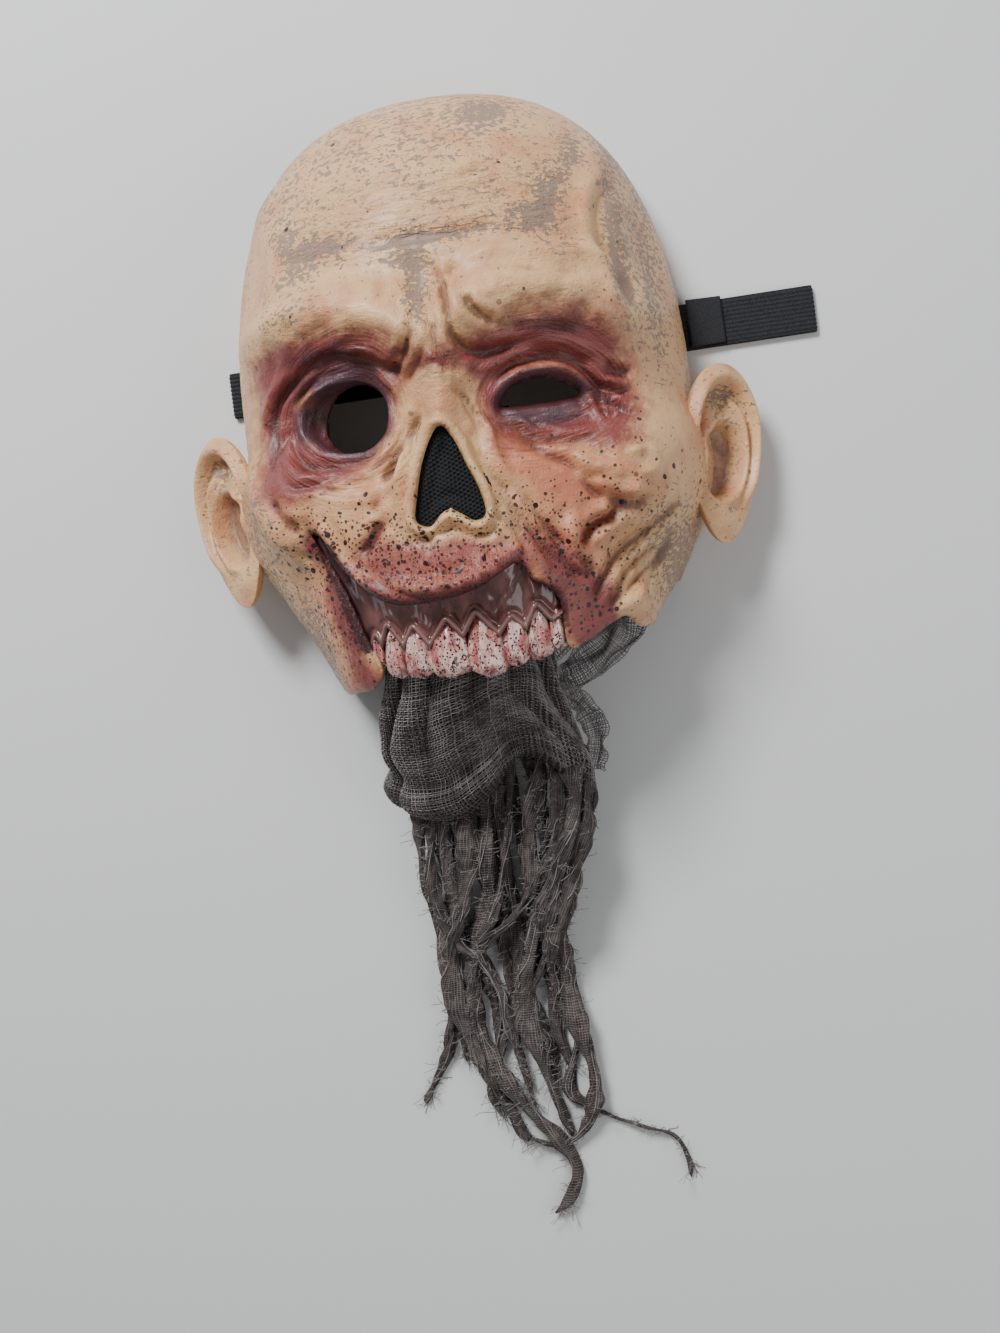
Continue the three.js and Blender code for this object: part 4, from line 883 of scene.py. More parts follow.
# %% Where the paint lies
SPOTS = {  # strength, place across and up, reach along and over, and turn in degrees
    "sore": [(1.0, -46, 23, 34, 9, -4), (1.1, -70, 0, 12, 24, 6), (1.1, -54, -17, 26, 9, 10),
        (0.6, -22, 6, 7, 14), (1.0, 42, 19, 32, 10), (1.0, 62, 0, 12, 17, 25),
        (1.0, 19, 2, 7, 14), (0.95, 42, -14, 24, 8, 4), (0.5, 62, -22, 12, 7),
        (0.55, 0, 14, 16, 5), (0.85, -35, -48, 12, 3.6, 42), (0.6, -32, -62, 10, 8),
        (1.0, 42, -80, 10, 20, 14), (0.6, 28, -58, 7, 24, 32), (1.1, -53, -76, 6, 28, 10),
        (0.7, 55, -52, 9, 2.6, 22), (0.7, -62, -46, 5, 6), (0.55, -45, -102, 9, 6),
        (0.95, 44, -95, 9, 6), (0.6, 50, -84, 7, 10), (0.4, -46, 31, 34, 5, -4),
        (0.35, 46, 31, 28, 5, -4)],
    "dark": [(0.75, -46, 26, 30, 5, -4), (0.7, -73, 2, 4, 16, 8), (0.5, -60, -16, 12, 3, 30),
        (0.7, 44, 24, 28, 4.4, -6), (0.6, 61, -5, 4, 13, 35), (0.4, 40, 13, 24, 2.4),
        (0.5, -14, 20, 5, 3), (0.45, 18, 18, 8, 3), (0.6, 56, -52, 6, 1.6, 22),
        (0.5, 38, -74, 5, 9), (0.7, -50, -76, 3.4, 22, 10), (0.4, -14, -71, 26, 4)],
    "halo": [(1.0, -46, 2, 42, 36), (1.1, 40, 0, 42, 30), (0.8, 32, -28, 22, 9, -40),
        (0.9, -12, -62, 48, 18), (0.9, 40, -74, 18, 28), (0.7, -56, -84, 14, 30),
        (0.4, 8, 70, 30, 16), (0.3, 60, -40, 24, 16), (0.7, -50, -104, 14, 8),
        (0.35, -76, -30, 20, 24), (-0.9, -1, -8, 14, 26)],
    "pink": [(1.2, -4, -63, 28, 12), (0.6, -34, -54, 14, 8), (0.5, 62, -22, 16, 8),
        (0.5, -52, -20, 22, 9), (0.6, 42, 16, 28, 6)],
    "bruise": [(0.7, 38, -10, 20, 5), (0.6, -46, 19, 24, 4.5), (0.55, -62, 4, 5, 14)],
    "fleck": [(0.8, -1, 64, 24, 2.6), (0.7, 42, 68, 10, 5), (0.7, 51, 80, 6, 15, -25),
        (0.5, 60, 98, 4, 10), (0.6, 28, 118, 12, 7), (0.7, -43, 68, 12, 4),
        (0.6, -58, 78, 8, 18, 25), (0.85, -5, 42, 5.5, 22), (0.45, -10, 56, 14, 4),
        (0.5, 52, 54, 8, 5), (0.5, -58, 58, 12, 5), (0.85, 73, 60, 5, 36), (0.5, 84, 30, 5, 50),
        (0.45, -58, 44, 18, 8), (0.6, -68, -82, 10, 24), (0.5, 78, -62, 14, 26, 20),
        (0.45, -84, -34, 12, 30), (0.3, -56, -30, 20, 8), (0.4, 76, 4, 5, 26),
        (-0.5, 78, -22, 16, 16), (-0.9, -40, 0, 34, 24), (-0.9, 36, 0, 40, 26),
        (-0.7, 0, -36, 40, 34)],
    "spatter": [(0.85, -34, -56, 24, 17), (0.8, -6, -64, 34, 13), (0.85, -58, -80, 13, 30),
        (0.85, 43, -76, 15, 20), (0.55, -56, -44, 26, 12), (0.5, -18, -44, 22, 8),
        (0.45, 22, -48, 28, 10), (0.18, 52, -40, 34, 18)],
    "upright": [(1.0, -6, -64, 34, 13), (1.0, -53, -82, 9, 26), (0.7, -2, 32, 12, 18)],
    "slanted": [(1.0, 68, -64, 24, 13, 38), (0.6, 26, -54, 8, 24, 32)],
    "level": [(0.7, 0, 10, 13, 8), (0.5, -48, 40, 34, 9), (0.5, 42, 42, 34, 9)],
}

# %% [markdown]
# Some of the paint follows the shape instead: it gathers along the edges of the holes, in the
# hollows of the relief, where the dark paint is also painted shade, and in the rows of the
# forehead. Creases that run round an eye need to know their distance from its lid and the way
# round it, so the points keep these too.

# %% Masks of the skin
RING_SIZE = 2.6  # millimetres of pattern for a turn of one radian round an eye


def skin_masks(piece):
    """Where each layer of paint lies, from the places on the face."""
    points = face_points(piece)
    x, y, _ = points.T
    left, right, nose, lip = edge_gaps(points)
    masks = {name: sum(strength * hill(x, y, *spot) for strength, *spot in spots)
             for name, spots in SPOTS.items()}
    mouth = soft_step(x, -46, -34) * (1 - soft_step(x, 20, 26)) * soft_step(y, -82, -76)
    masks["sore"] += mouth * bell(lip, 2.2, 3.4)
    torn = bell(lip, 0.4, 2.0) * (x > -60) * (x < 37) * (y > -92)
    masks["dark"] += 0.8 * torn + 0.5 * bell(left, 0, 8) * (y > 0) + 0.4 * bell(right, 0, 6)
    masks["halo"] -= 0.9 * bell(nose, 0, 7)
    masks["pink"] -= 0.6 * bell(nose, 0, 5)
    masks["bruise"] += bell(left, 0, 6.5) + 0.95 * bell(right, 0, 4.2)
    rows = soft_step(y, 54, 64) * (1 - soft_step(y, 88, 100)) * (1 - soft_step(abs(x), 44, 66))
    folded = np.clip(0.4 - 0.9 * hills(points * (0.2, 1, 0.6), 2.4, 1), -0.3, 1)
    crown = soft_step(y, 84, 104) * (1 - 0.5 * soft_step(x, 20, 50))
    side = soft_step(np.abs(x) / np.maximum(section(y)[0], 1), 0.78, 0.99)
    masks["fleck"] += 0.36 * crown + 0.45 * rows * folded + 0.35 * side
    masks["level"] += 0.8 * rows
    # Dark paint and painted shade: the deeper the relief is pressed in, the darker the skin.
    hollow = np.clip(-fine_relief(points) / 2.2, 0, 1) * (1 - 0.6 * soft_step(y, 40, 60))
    masks["hollow"] = hollow * (1 - 0.8 * bell(nose, 0, 8))
    gap = np.minimum(left, right)
    turn = np.arctan2(y, x - np.where(left < right, LEFT_EYE_X, RIGHT_EYE_X))
    beside_nose = soft_step(abs(x + 2), 8, 18)
    masks["rings"] = soft_step(gap, 1, 5) * (1 - soft_step(gap, 14, 30)) * beside_nose
    masks["ring_gap"] = gap * MM
    masks["ring_x"], masks["ring_y"] = (RING_SIZE * MM * way for way in (np.cos(turn), np.sin(turn)))
    for name, values in masks.items():
        set_mask(piece, name, values)


skin = add_piece("skin_shell", skin_bm, (skin_paint, lining_paint), ["mask_shell"])
skin_masks(skin)
thicken(skin, "wall", WALL, -1).material_offset = 1

# %% [markdown]
# The ears are part of the moulding. Each is a rounded plate that turns back from the temple: a
# rolled rim, a groove inside it, a forked ridge, a deep bowl with a small flap before it, and a
# lobe. A polar grid goes from the middle of the front over the rim to the middle of the back.

# %% Ears
EAR_HEIGHT, EAR_REACH, EAR_THICKNESS = 76.0, 38.0, 6.0
EAR_TURN, EAR_LEAN = math.radians(38), math.radians(9)
EAR_ROOT_SINK, EAR_UP, EAR_ROOT_HEIGHT = 12.0, -0.22 * JAW_DROP, 0.42 * FACE_DEPTH
EAR_PINCH = 0.22  # how much wider the ear is at its top than half way up
ear_root = float(section(np.array([EAR_UP]))[0][0]) - EAR_ROOT_SINK
EAR_FRONT = 0.66  # share of the grid's rows that lie on the front
EAR_COLUMNS, EAR_ROWS = 110, 74


def ear_bowl(out, up):
    """The bowl and the upper hollow of the ear, from 0 to 1."""
    lean = out - 0.5 - 0.1 * up
    deep = soft_step(1 - np.hypot(lean / 0.31, (up + 0.08) / 0.5), 0.04, 0.34)
    upper = 0.45 * hill(out, up, 0.5, 0.56, 0.14, 0.15, -20)
    return np.clip(deep + upper, 0, 1)


def ear_front(out, up):
    """Rise of the ear's front. Out and up are shares of its reach and half height."""
    rim_radius = np.hypot((out - 0.5) / (0.5 * (1 + EAR_PINCH * up)), up)
    upper = soft_step(up, -0.7, -0.25) * soft_step(out + 0.5 * up, -0.1, 0.3)
    rim = 5.0 * bell(rim_radius, 0.86, 0.13) * upper
    groove = -3.0 * bell(rim_radius, 0.71, 0.07) * upper * soft_step(up, -0.2, 0.3)
    ridge = 2.4 * bell(rim_radius, 0.6, 0.08) * upper * soft_step(out, 0.45, 0.65)
    flap = 3.4 * hill(out, up, 0.19, -0.1, 0.08, 0.16)
    crus = 1.6 * hill(out, up, 0.32, 0.24, 0.16, 0.05, 24)
    notch = 2.0 * hill(out, up, 0.56, -0.52, 0.13, 0.07, 30)
    lobe = 2.2 * hill(out, up, 0.4, -0.76, 0.26, 0.18)
    return rim + groove + ridge + flap + crus + notch + lobe - 8.0 * ear_bowl(out, up)


def ear_shape(side):
    def shape(across, along):
        angle = 2 * math.pi * across
        front = along < EAR_FRONT
        radius = np.where(front, along / EAR_FRONT, (1 - along) / (1 - EAR_FRONT))
        radius = np.sin(math.pi / 2 * np.clip(radius, 0, 1))
        out = EAR_REACH / 2 * (1 + radius * (1 + EAR_PINCH * np.sin(angle)) * np.cos(angle))
        up = radius * EAR_HEIGHT * np.sin(angle) / 2
        round_edge = np.sqrt(np.clip(1 - radius**8, 0, 1))
        top = ear_front(out / EAR_REACH, 2 * up / EAR_HEIGHT)
        deep = np.where(front, top, 0.85 * np.minimum(top, 0) - EAR_THICKNESS) * round_edge
        deep += 0.3 * hills(np.column_stack([out, up, deep]), 6, 3 + side) * round_edge
        lean_out = out * math.cos(EAR_LEAN) + up * math.sin(EAR_LEAN)
        lean_up = up * math.cos(EAR_LEAN) - out * math.sin(EAR_LEAN)
        x = ear_root + lean_out * math.cos(EAR_TURN) + deep * math.sin(EAR_TURN)
        z = EAR_ROOT_HEIGHT - lean_out * math.sin(EAR_TURN) + deep * math.cos(EAR_TURN)
        return np.column_stack([side * x, EAR_UP + lean_up, z])

    return shape


def ear_masks(piece, side):
    """The ear has four of the masks, and its hollows are darkened with dark paint and painted shade."""
    x, y, z = face_points(piece).T
    spread = (side * x - ear_root) * math.cos(EAR_TURN) - (z - EAR_ROOT_HEIGHT) * math.sin(EAR_TURN)
    lean_up = y - EAR_UP
    out = (spread * math.cos(EAR_LEAN) - lean_up * math.sin(EAR_LEAN)) / EAR_REACH
    up = (lean_up * math.cos(EAR_LEAN) + spread * math.sin(EAR_LEAN)) * 2 / EAR_HEIGHT
    bowl, rise = ear_bowl(out, up), ear_front(out, up)
    set_mask(piece, "halo", np.full(len(x), 0.1))
    set_mask(piece, "bruise", 0.6 * bowl)
    # Dark paint and painted shade in the ear's hollows.
    set_mask(piece, "hollow", 0.28 * np.clip(-rise / 3, 0, 1))
    set_mask(piece, "fleck", 0.55 * soft_step(up, 0.2, 0.7) * soft_step(-rise, -1, 2) + 0.12)


for side, name in ((-1, "left_ear"), (1, "right_ear")):
    ear_bm = closed(moved_grid(EAR_COLUMNS, EAR_ROWS, ear_shape(side)))
    ear = add_piece(name, ear_bm, [skin_paint])
    ear_masks(ear, side)

# %% [markdown]
# The knit behind the nose hole is a thin black mesh that lets the wearer breathe. It is one sheet
# laid against the inside of the skin. Its small six-sided cells are three waves in the shader that
# cross at sixty degrees, because they are far smaller than the folds that matter here.

# %% Knit patch
KNIT_THICKNESS, KNIT_CELL = 1.0, 1.45
NOSE_HALF, NOSE_TOP = 0.16 * HALF_WIDTH, -0.1 * JAW_DROP
knit_paint = Paint("black_knit", Base_Color=tint(20, 22, 26), Roughness=0.85)


def build_knit_paint(paint):
    """Six-sided cells, from three waves that cross at sixty degrees."""
    where = paint.node("ShaderNodeTexCoord", output="Object")
    across, up = (paint.node("ShaderNodeSeparateXYZ", {}, {"Vector": where}, axis)
                  for axis in ("X", "Y"))
    turns = 2 * math.pi / (KNIT_CELL * MM)
    cells = sum(paint.node("ShaderNodeMath", {"operation": "COSINE"}, {
        0: across * (turns * c) + up * (turns * s)}) for c, s in ((1, 0), (0.5, 0.87), (0.5, -0.87)))
    paint.color(paint.mix(cells.step(-0.4, 1.2), tint(22, 25, 30), tint(2, 2, 4)))
    paint.bump(0.5 - 0.2 * cells, 0.9)


def knit_shape(across, along):
    low, high = -NOSE_BASE - KNIT_MARGIN, NOSE_TOP + KNIT_MARGIN
    x, y = (NOSE_HALF + KNIT_MARGIN) * (2 * across - 1), low + (high - low) * along
    # The cloth gives way where a line is pressed into the skin over it.
    pressed = np.minimum(fine_relief(np.column_stack([x, y, 0 * x])), 0)
    return np.column_stack([x, y, face_height(x, y, WALL + FIT_GAP) + pressed])


build_knit_paint(knit_paint)
knit = add_piece("knit_patch", moved_grid(44, 48, knit_shape), [knit_paint], ["nose_mesh"])
thicken(knit, "cloth", KNIT_THICKNESS, -1)

# %% [markdown]
# The gum is a glossy plate behind the lip. Its lower edge is a raised zigzag that bites round
# each tooth. The grid's last row is laid on that zigzag, so the edge is exact. Above it the plate
# has soft folds, most of them upright, which noise stretched downwards and a few lines give.

# %% Gum
GUM_THICKNESS = 0.8 * 2.4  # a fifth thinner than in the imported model
GUM_SPAN = -0.66, 0.35
GUM_TOP = np.array([(-0.66, -0.37), (-0.56, -0.38), (-0.49, -0.48), (-0.42, -0.58), (0.35, -0.6)])
GUM_LINE = np.array([(-0.66, -0.45), (-0.57, -0.62), (-0.53, -0.75), (-0.5, -0.84), (-0.45, -0.86),
                     (-0.42, -0.8), (-0.4, -0.85), (-0.36, -0.77), (-0.3, -0.86), (-0.25, -0.79),
                     (-0.19, -0.87), (-0.11, -0.78), (-0.05, -0.85), (0.01, -0.77), (0.09, -0.86),
                     (0.15, -0.8), (0.2, -0.85), (0.25, -0.77), (0.3, -0.83), (0.35, -0.81)])
GUM_FOLDS = [[(6, -85), (13, -77), (22, -64)], [(25, -84), (24, -75), (23, -65)],
             [(-10, -80), (-9, -72), (-6, -66)], [(-33, -80), (-35, -70), (-40, -62)],
             [(-44, -86), (-47, -72), (-55, -55), (-58, -44)], [(-21, -84), (-20, -75), (-18, -68)]]
gum_paint = Paint("wet_gum", Roughness=0.2, Specular_IOR_Level=0.6, Coat_Weight=0.3,
                  Coat_Roughness=0.1)


def gum_y(line, x):
    return np.interp(x, line[:, 0] * HALF_WIDTH, line[:, 1] * JAW_DROP)


def gum_gap(x, y):
    """The distance to the zigzag, square to it."""
    return nearest(np.column_stack([x, y]), GUM_LINE * (HALF_WIDTH, JAW_DROP))[0]


def gum_shape(across, along):
    x = HALF_WIDTH * (GUM_SPAN[0] + (GUM_SPAN[1] - GUM_SPAN[0]) * across)
    y = gum_y(GUM_TOP, x) + (gum_y(GUM_LINE, x) - gum_y(GUM_TOP, x)) * along
    gap = gum_gap(x, y)
    bead = 1.5 * bell(gap, 1.2, 0.9) - 1.0 * bell(gap, 3.3, 1.2)
    inner = soft_step(gap, 1.5, 5)
    bulge = 2.0 * hills(np.column_stack([x, 0.16 * y, 0 * x]), 6, 8)
    bulge += 0.5 * hills(np.column_stack([x, 0.5 * y, 0 * x]), 2.4, 9)
    for line in GUM_FOLDS:
        bulge += 1.3 * bell(nearest(np.column_stack([x, y]), smooth_line(line))[0], 0, 1.4)
    z = face_height(x, y, WALL + FIT_GAP) - 1.2 + bead + bulge * inner
    return np.column_stack([x, y, z])


def build_gum_paint(paint):
    blotch = paint.noise(7, 3, 0.55, (1.4, 0.5, 1))
    coat = paint.mix(blotch.step(0.25, 0.8), tint(80, 44, 44), tint(128, 86, 82))
    # Painted shade: the gum darkens towards the left, where it lies behind the cheek flap.
    coat = paint.mix(paint.mask("shade"), coat, tint(48, 22, 28))
    # Painted highlight: the raised zigzag bead along the gum's lower edge is painted lighter.
    coat = paint.mix(paint.mask("edge").step(0.2, 0.9) * 0.6, coat, tint(142, 112, 108))
    drops = (1 - paint.cells(2.4).step(0.14, 0.22)) * paint.noise(5, 2, 0.5).step(0.5, 0.6)
    coat = paint.mix(drops * 0.8, coat, tint(34, 12, 14))
    paint.color(coat)
    paint.bump(paint.noise(4, 2, 0.5, (1, 0.3, 1)), 0.35)


build_gum_paint(gum_paint)
gum = add_piece("gum_plate", moved_grid(230, 40, gum_shape), [gum_paint], ["gum"])
gum_x, gum_height, _ = face_points(gum).T
# A mask for the painted highlight on the zigzag bead.
set_mask(gum, "edge", bell(gum_gap(gum_x, gum_height), 1.2, 1.1))
# A mask for the painted shade behind the cheek flap.
set_mask(gum, "shade", 0.85 * soft_step(-gum_x, 40, 47))
thicken(gum, "plate", GUM_THICKNESS, 1)

# %% [markdown]
# The teeth are worn and grooved, pearly white to pink, with dark blotches. Each one is a wrapped
# grid from a hidden root to a rounded tip, flat at its back, and they stand on an arch that
# follows the face. All eight are one moulding, so they are joined to one piece.

# %% Teeth
TOOTH_DEPTH, TOOTH_PROUD, ARCH_UP, TOOTH_ROOT = 7.5, 0.5, -0.88 * JAW_DROP, -0.72 * JAW_DROP
TEETH = [(-0.45, -0.385, -0.91), (-0.39, -0.29, -0.955), (-0.3, -0.18, -0.965),
         (-0.19, -0.035, -0.98), (-0.045, 0.105, -0.99), (0.095, 0.2, -0.965),
         (0.19, 0.29, -0.955), (0.28, 0.35, -0.925)]
tooth_paint = Paint("pearly_tooth", Roughness=0.24, Specular_IOR_Level=0.6, Coat_Weight=0.3)


def tooth_back(x):
    return face_height(x, ARCH_UP, WALL + FIT_GAP) + TOOTH_PROUD - TOOTH_DEPTH


def tooth_shape(left, right, tip, seed):
    middle, half = (left + right) / 2 * HALF_WIDTH, (right - left) / 2 * HALF_WIDTH
    back = float(tooth_back(np.array([middle]))[0])

    def shape(across, along):
        angle = 2 * math.pi * across
        way = 1 - (1 - along) ** 1.6
        steps = [0, 0.2, 0.42, 0.7, 0.88, 0.96, 1]
        full = np.interp(way, steps, [0.5, 0.64, 0.9, 1.1, 1.06, 0.88, 0.0])
        thick = np.interp(way, steps, [0.5, 0.75, 0.95, 1.0, 0.86, 0.66, 0.0])
        round_across = blunt(np.cos(angle), 0.72)
        groove = 0.13 * np.cos(2.3 * math.pi * round_across + seed) * soft_step(way, 0.15, 0.5)
        x = middle + half * full * round_across
        ragged = 0.035 * np.cos(5 * round_across + 2 * seed) * way**5
        y = TOOTH_ROOT + (tip * JAW_DROP - TOOTH_ROOT) * (way + ragged)
        rise = np.maximum(blunt(np.sin(angle), 0.8), -0.05) * (1 - groove)
        z = back + TOOTH_DEPTH * thick * rise
        points = np.column_stack([x, y, z])
        z += 0.6 * hills(points * (1, 0.4, 1), 2.4, seed) * np.maximum(np.sin(angle), 0) * thick
        return np.column_stack([x, y, z])

    return shape


def build_tooth_paint(paint):
    streak = paint.noise(6, 3, 0.6, (1.4, 0.7, 1))
    coat = paint.mix(streak.step(0.4, 0.62), tint(220, 188, 180), tint(176, 102, 98))
    stain = paint.noise(1.7, 3, 0.65, (1, 0.8, 1), 0.9) + 0.3 * (paint.noise(9, 2, 0.5) - 0.5)
    drops = (1 - paint.cells(1.6).step(0.24, 0.32)) * paint.noise(5, 2, 0.5).step(0.34, 0.46)
    coat = paint.mix(stain.step(0.59, 0.62), coat, tint(70, 20, 20))
    coat = paint.mix(drops, coat, tint(48, 16, 16))
    paint.color(coat)
    paint.bump(paint.noise(2.6, 3, 0.6, (1, 0.35, 1)), 0.5)


build_tooth_paint(tooth_paint)
teeth_bm = joined(closed(moved_grid(48, 34, tooth_shape(*tooth, seed)))
                  for seed, tooth in enumerate(TEETH))
teeth = add_piece("tooth_row", teeth_bm, [tooth_paint], ["teeth"])

# %% [markdown]
# The strap is a flat elastic with ribs woven along it. It is sewn to both temples, runs under
# the mask, and lies in a long loop at the right and a short one at the left. Its path is drawn
# in one plane, and the grid wraps a ribbed cross-section round that path. The end that is folded
# back and sewn down at the right is a second, short ply that lies on the first.

# %% Strap
STRAP_WIDTH, STRAP_THICKNESS, STRAP_PLY_GAP, FLOOR_GAP = 20.0, 1.2, 0.9, 0.05
STRAP_LOOPS = {-1: 7.0, 1: 56.0}
STRAP_SEAT, STRAP_SEAT_LENGTH, STRAP_SLACK, STRAP_BEND = 0.11 * FACE_DEPTH, 16.0, 0.3, 3.0
STRAP_MIDDLE, RIBS, RIB_HEIGHT = 0.23 * CROWN_RISE, 11, 0.16


def on_line(line, at):
    """Places on a line of points, at counting the points passed."""
    return np.column_stack([np.interp(at, np.arange(len(line)), column) for column in line.T])


def strap_path():
    """The middle line of the strap, across and up from the floor."""
    half = STRAP_THICKNESS / 2
    low = FLOOR_GAP + half
    high = low + STRAP_THICKNESS + STRAP_PLY_GAP
    width, depth = (float(v[0]) for v in section(
        np.array([STRAP_MIDDLE]), WALL + FIT_GAP + half + STRAP_SLACK))

    def side_path(reach):
        z = STRAP_SEAT + STRAP_SEAT_LENGTH * np.linspace(1, 0, 6)[:-1]
        seat = np.column_stack([width * dome(z / depth, SECTION_POWER), z])
        foot = width * float(dome(np.array([STRAP_SEAT / depth]), SECTION_POWER)[0])
        turn = np.linspace(0, math.pi / 2, 7)
        bend = np.column_stack([
            foot + STRAP_BEND * (1 - np.cos(turn)), high + STRAP_BEND * (1 - np.sin(turn))])
        radius = (high - low) / 2
        turn = np.linspace(math.pi / 2, -math.pi / 2, 12)
        end = HALF_WIDTH + reach - radius
        steps = np.linspace(bend[-1, 0], end, 8)[1:-1]
        ply = np.column_stack([steps, np.full(len(steps), high)])
        loop = np.column_stack([end + radius * np.cos(turn), low + radius + radius * np.sin(turn)])
        return np.vstack([seat, bend, ply, loop])

    right, left = side_path(STRAP_LOOPS[1]), side_path(STRAP_LOOPS[-1]) * (-1, 1)
    under = np.column_stack([np.linspace(right[-1, 0], left[-1, 0], 24)[1:-1], np.full(22, low)])
    return np.vstack([right, under, left[::-1]])


strap_line = strap_path()
strap_tangent = np.gradient(strap_line, axis=0)
strap_tangent /= np.linalg.norm(strap_tangent, axis=1)[:, None]


def strap_shape(across, along):
    index = along * (len(strap_line) - 1)
    at, way = on_line(strap_line, index), on_line(strap_tangent, index)
    turn = 4 * across
    face = np.where(turn < 2, 1, -1)
    wide = np.where(turn < 2, turn - 1, 3 - turn)
    edge = np.sqrt(np.clip(1 - np.abs(wide) ** 14, 0, 1))
    rib = RIB_HEIGHT * (np.cos(math.pi * RIBS * (wide + 1)) - 1)
    off = face * (STRAP_THICKNESS / 2 + rib) * edge
    x, z = at[:, 0] - way[:, 1] * off, at[:, 1] + way[:, 0] * off
    return np.column_stack([x, STRAP_MIDDLE + STRAP_WIDTH / 2 * wide, z])


strap_paint = Paint("black_elastic", Roughness=0.8)


def build_strap_paint(paint):
    weave = paint.noise(0.7, 2, 0.6, (2.5, 1, 1))
    paint.color(paint.mix(weave.step(0.3, 0.7), tint(14, 15, 18), tint(44, 46, 52)))
    paint.bump(weave, 0.4)


build_strap_paint(strap_paint)
strap = add_piece("elastic_strap", closed(moved_grid(140, len(strap_line) - 1, strap_shape)),
                  [strap_paint], ["strap"])

# %% Its sewn end
END_START, END_LENGTH, END_HALF, END_HALF_THICKNESS = HALF_WIDTH + 2, 15.0, 10.4, 0.6
END_MIDDLE = STRAP_MIDDLE + 1
END_RISE = FLOOR_GAP + 2 * STRAP_THICKNESS + STRAP_PLY_GAP + 0.8


def strap_end_shape(across, along):
    """A second ply on the strap, ragged at its end and a little narrower there."""
    angle = 2 * math.pi * across
    wide, rise = blunt(np.cos(angle), 0.2), blunt(np.sin(angle), 0.5)
    ragged = 0.5 * hills(np.column_stack([9 * wide, 0 * across, 0 * across]), 3, 31)
    ends = np.sqrt(np.clip(1 - (2 * along - 1) ** 20, 0.02, 1))
    return np.column_stack([
        END_START + END_LENGTH * along + ragged,
        END_MIDDLE + END_HALF * wide * (1 - 0.04 * along),
        END_RISE + END_HALF_THICKNESS * rise * ends])


strap_end_bm = closed(moved_grid(80, 24, strap_end_shape))
strap_end = add_piece("strap_end", strap_end_bm, [strap_paint])

# %% [markdown]
# Gauze is an open cloth of fine threads. Where it is wide and flat its threads show one by one,
# so they are real tubes, woven over and under each other. The tubes have three sides, because
# there are thousands of them, and for the same reason their points and faces are written as
# joined arrays, all at once.

# %% Threads
def thread_mesh(name, paths, radius):
    """One mesh of three-sided tubes along paths of points. Each thread keeps its own tint."""
    points, faces, tints = [], [], []
    chance = np.random.default_rng(len(paths))
    corners = math.pi * np.array([1 / 2, 7 / 6, 11 / 6])[:, None]
    first = 0
    for path in paths:
        path = np.asarray(path, float)
        along = np.gradient(path, axis=0)
        along /= np.maximum(np.linalg.norm(along, axis=1), 1e-9)[:, None]
        side = np.cross(along, (0.13, 0.21, 0.97))
        side /= np.maximum(np.linalg.norm(side, axis=1), 1e-9)[:, None]
        up = np.cross(side, along)
        out = np.cos(corners) * side[:, None] + np.sin(corners) * up[:, None]
        points.append((path[:, None] + radius * out).reshape(-1, 3))
        count = len(path)
        tints.append(np.full(3 * count, chance.random()))
        start = first + 3 * np.arange(count - 1)[:, None]
        corner = np.arange(3)
        after = (corner + 1) % 3
        quads = np.stack([start + corner, start + after, start + 3 + after, start + 3 + corner], axis=2)
        faces += quads.reshape(-1, 4).tolist()
        last = first + 3 * count - 3
        faces += [[first + 2, first + 1, first], [last, last + 1, last + 2]]
        first += 3 * count
    mesh = bpy.data.meshes.new(name)
    mesh.from_pydata(in_frame(np.vstack(points)).tolist(), [], faces)
    layer = mesh.attributes.new("tint", "FLOAT", "POINT")
    layer.data.foreach_set("value", np.concatenate(tints).astype(np.float32))
    return mesh


thread_paint = Paint("gauze_thread", Roughness=0.9)


def mesh_lines(paint, across, along):
    """Crossed threads on a piece's own map, so many across and along, from 0 to 1."""
    where = paint.node("ShaderNodeUVMap", {"uv_map": "UVMap"})
    wander = 1.6 * (paint.noise(7, 2, 0.5) - 0.5)
    lines = []
    for axis, count in (("X", across), ("Y", along)):
        way = paint.node("ShaderNodeSeparateXYZ", {}, {"Vector": where}, axis)
        phase = way * (math.pi * count) + wander
        wave = paint.node("ShaderNodeMath", {"operation": "COSINE"}, {0: phase})
        square = wave * wave
        lines.append(square * square * square)
    return paint.node("ShaderNodeMath", {"operation": "MAXIMUM"}, {0: lines[0], 1: lines[1]})


def build_thread_paint(paint):
    worn = paint.noise(9, 3, 0.6)
    shade = (0.3 * paint.mask("tint") + worn).step(0.4, 0.9)
    paint.color(paint.mix(shade, tint(92, 87, 86), tint(166, 160, 158)))


build_thread_paint(thread_paint)

# %% [markdown]
# The gauze is gathered behind the teeth and falls in pleats to its hem, which is rolled at the
# left and drawn up to a notch at the right. The pleats are a wave that fans out downwards and is
# made uneven by noise: a cloth simulation would fold too, but not along the folds of the real
# one. Under the woven layer lies a second ply, as the cloth is doubled. It is painted darker than
# the threads over it, with the gaps of its painted mesh nearly black: painted shade under the weave.

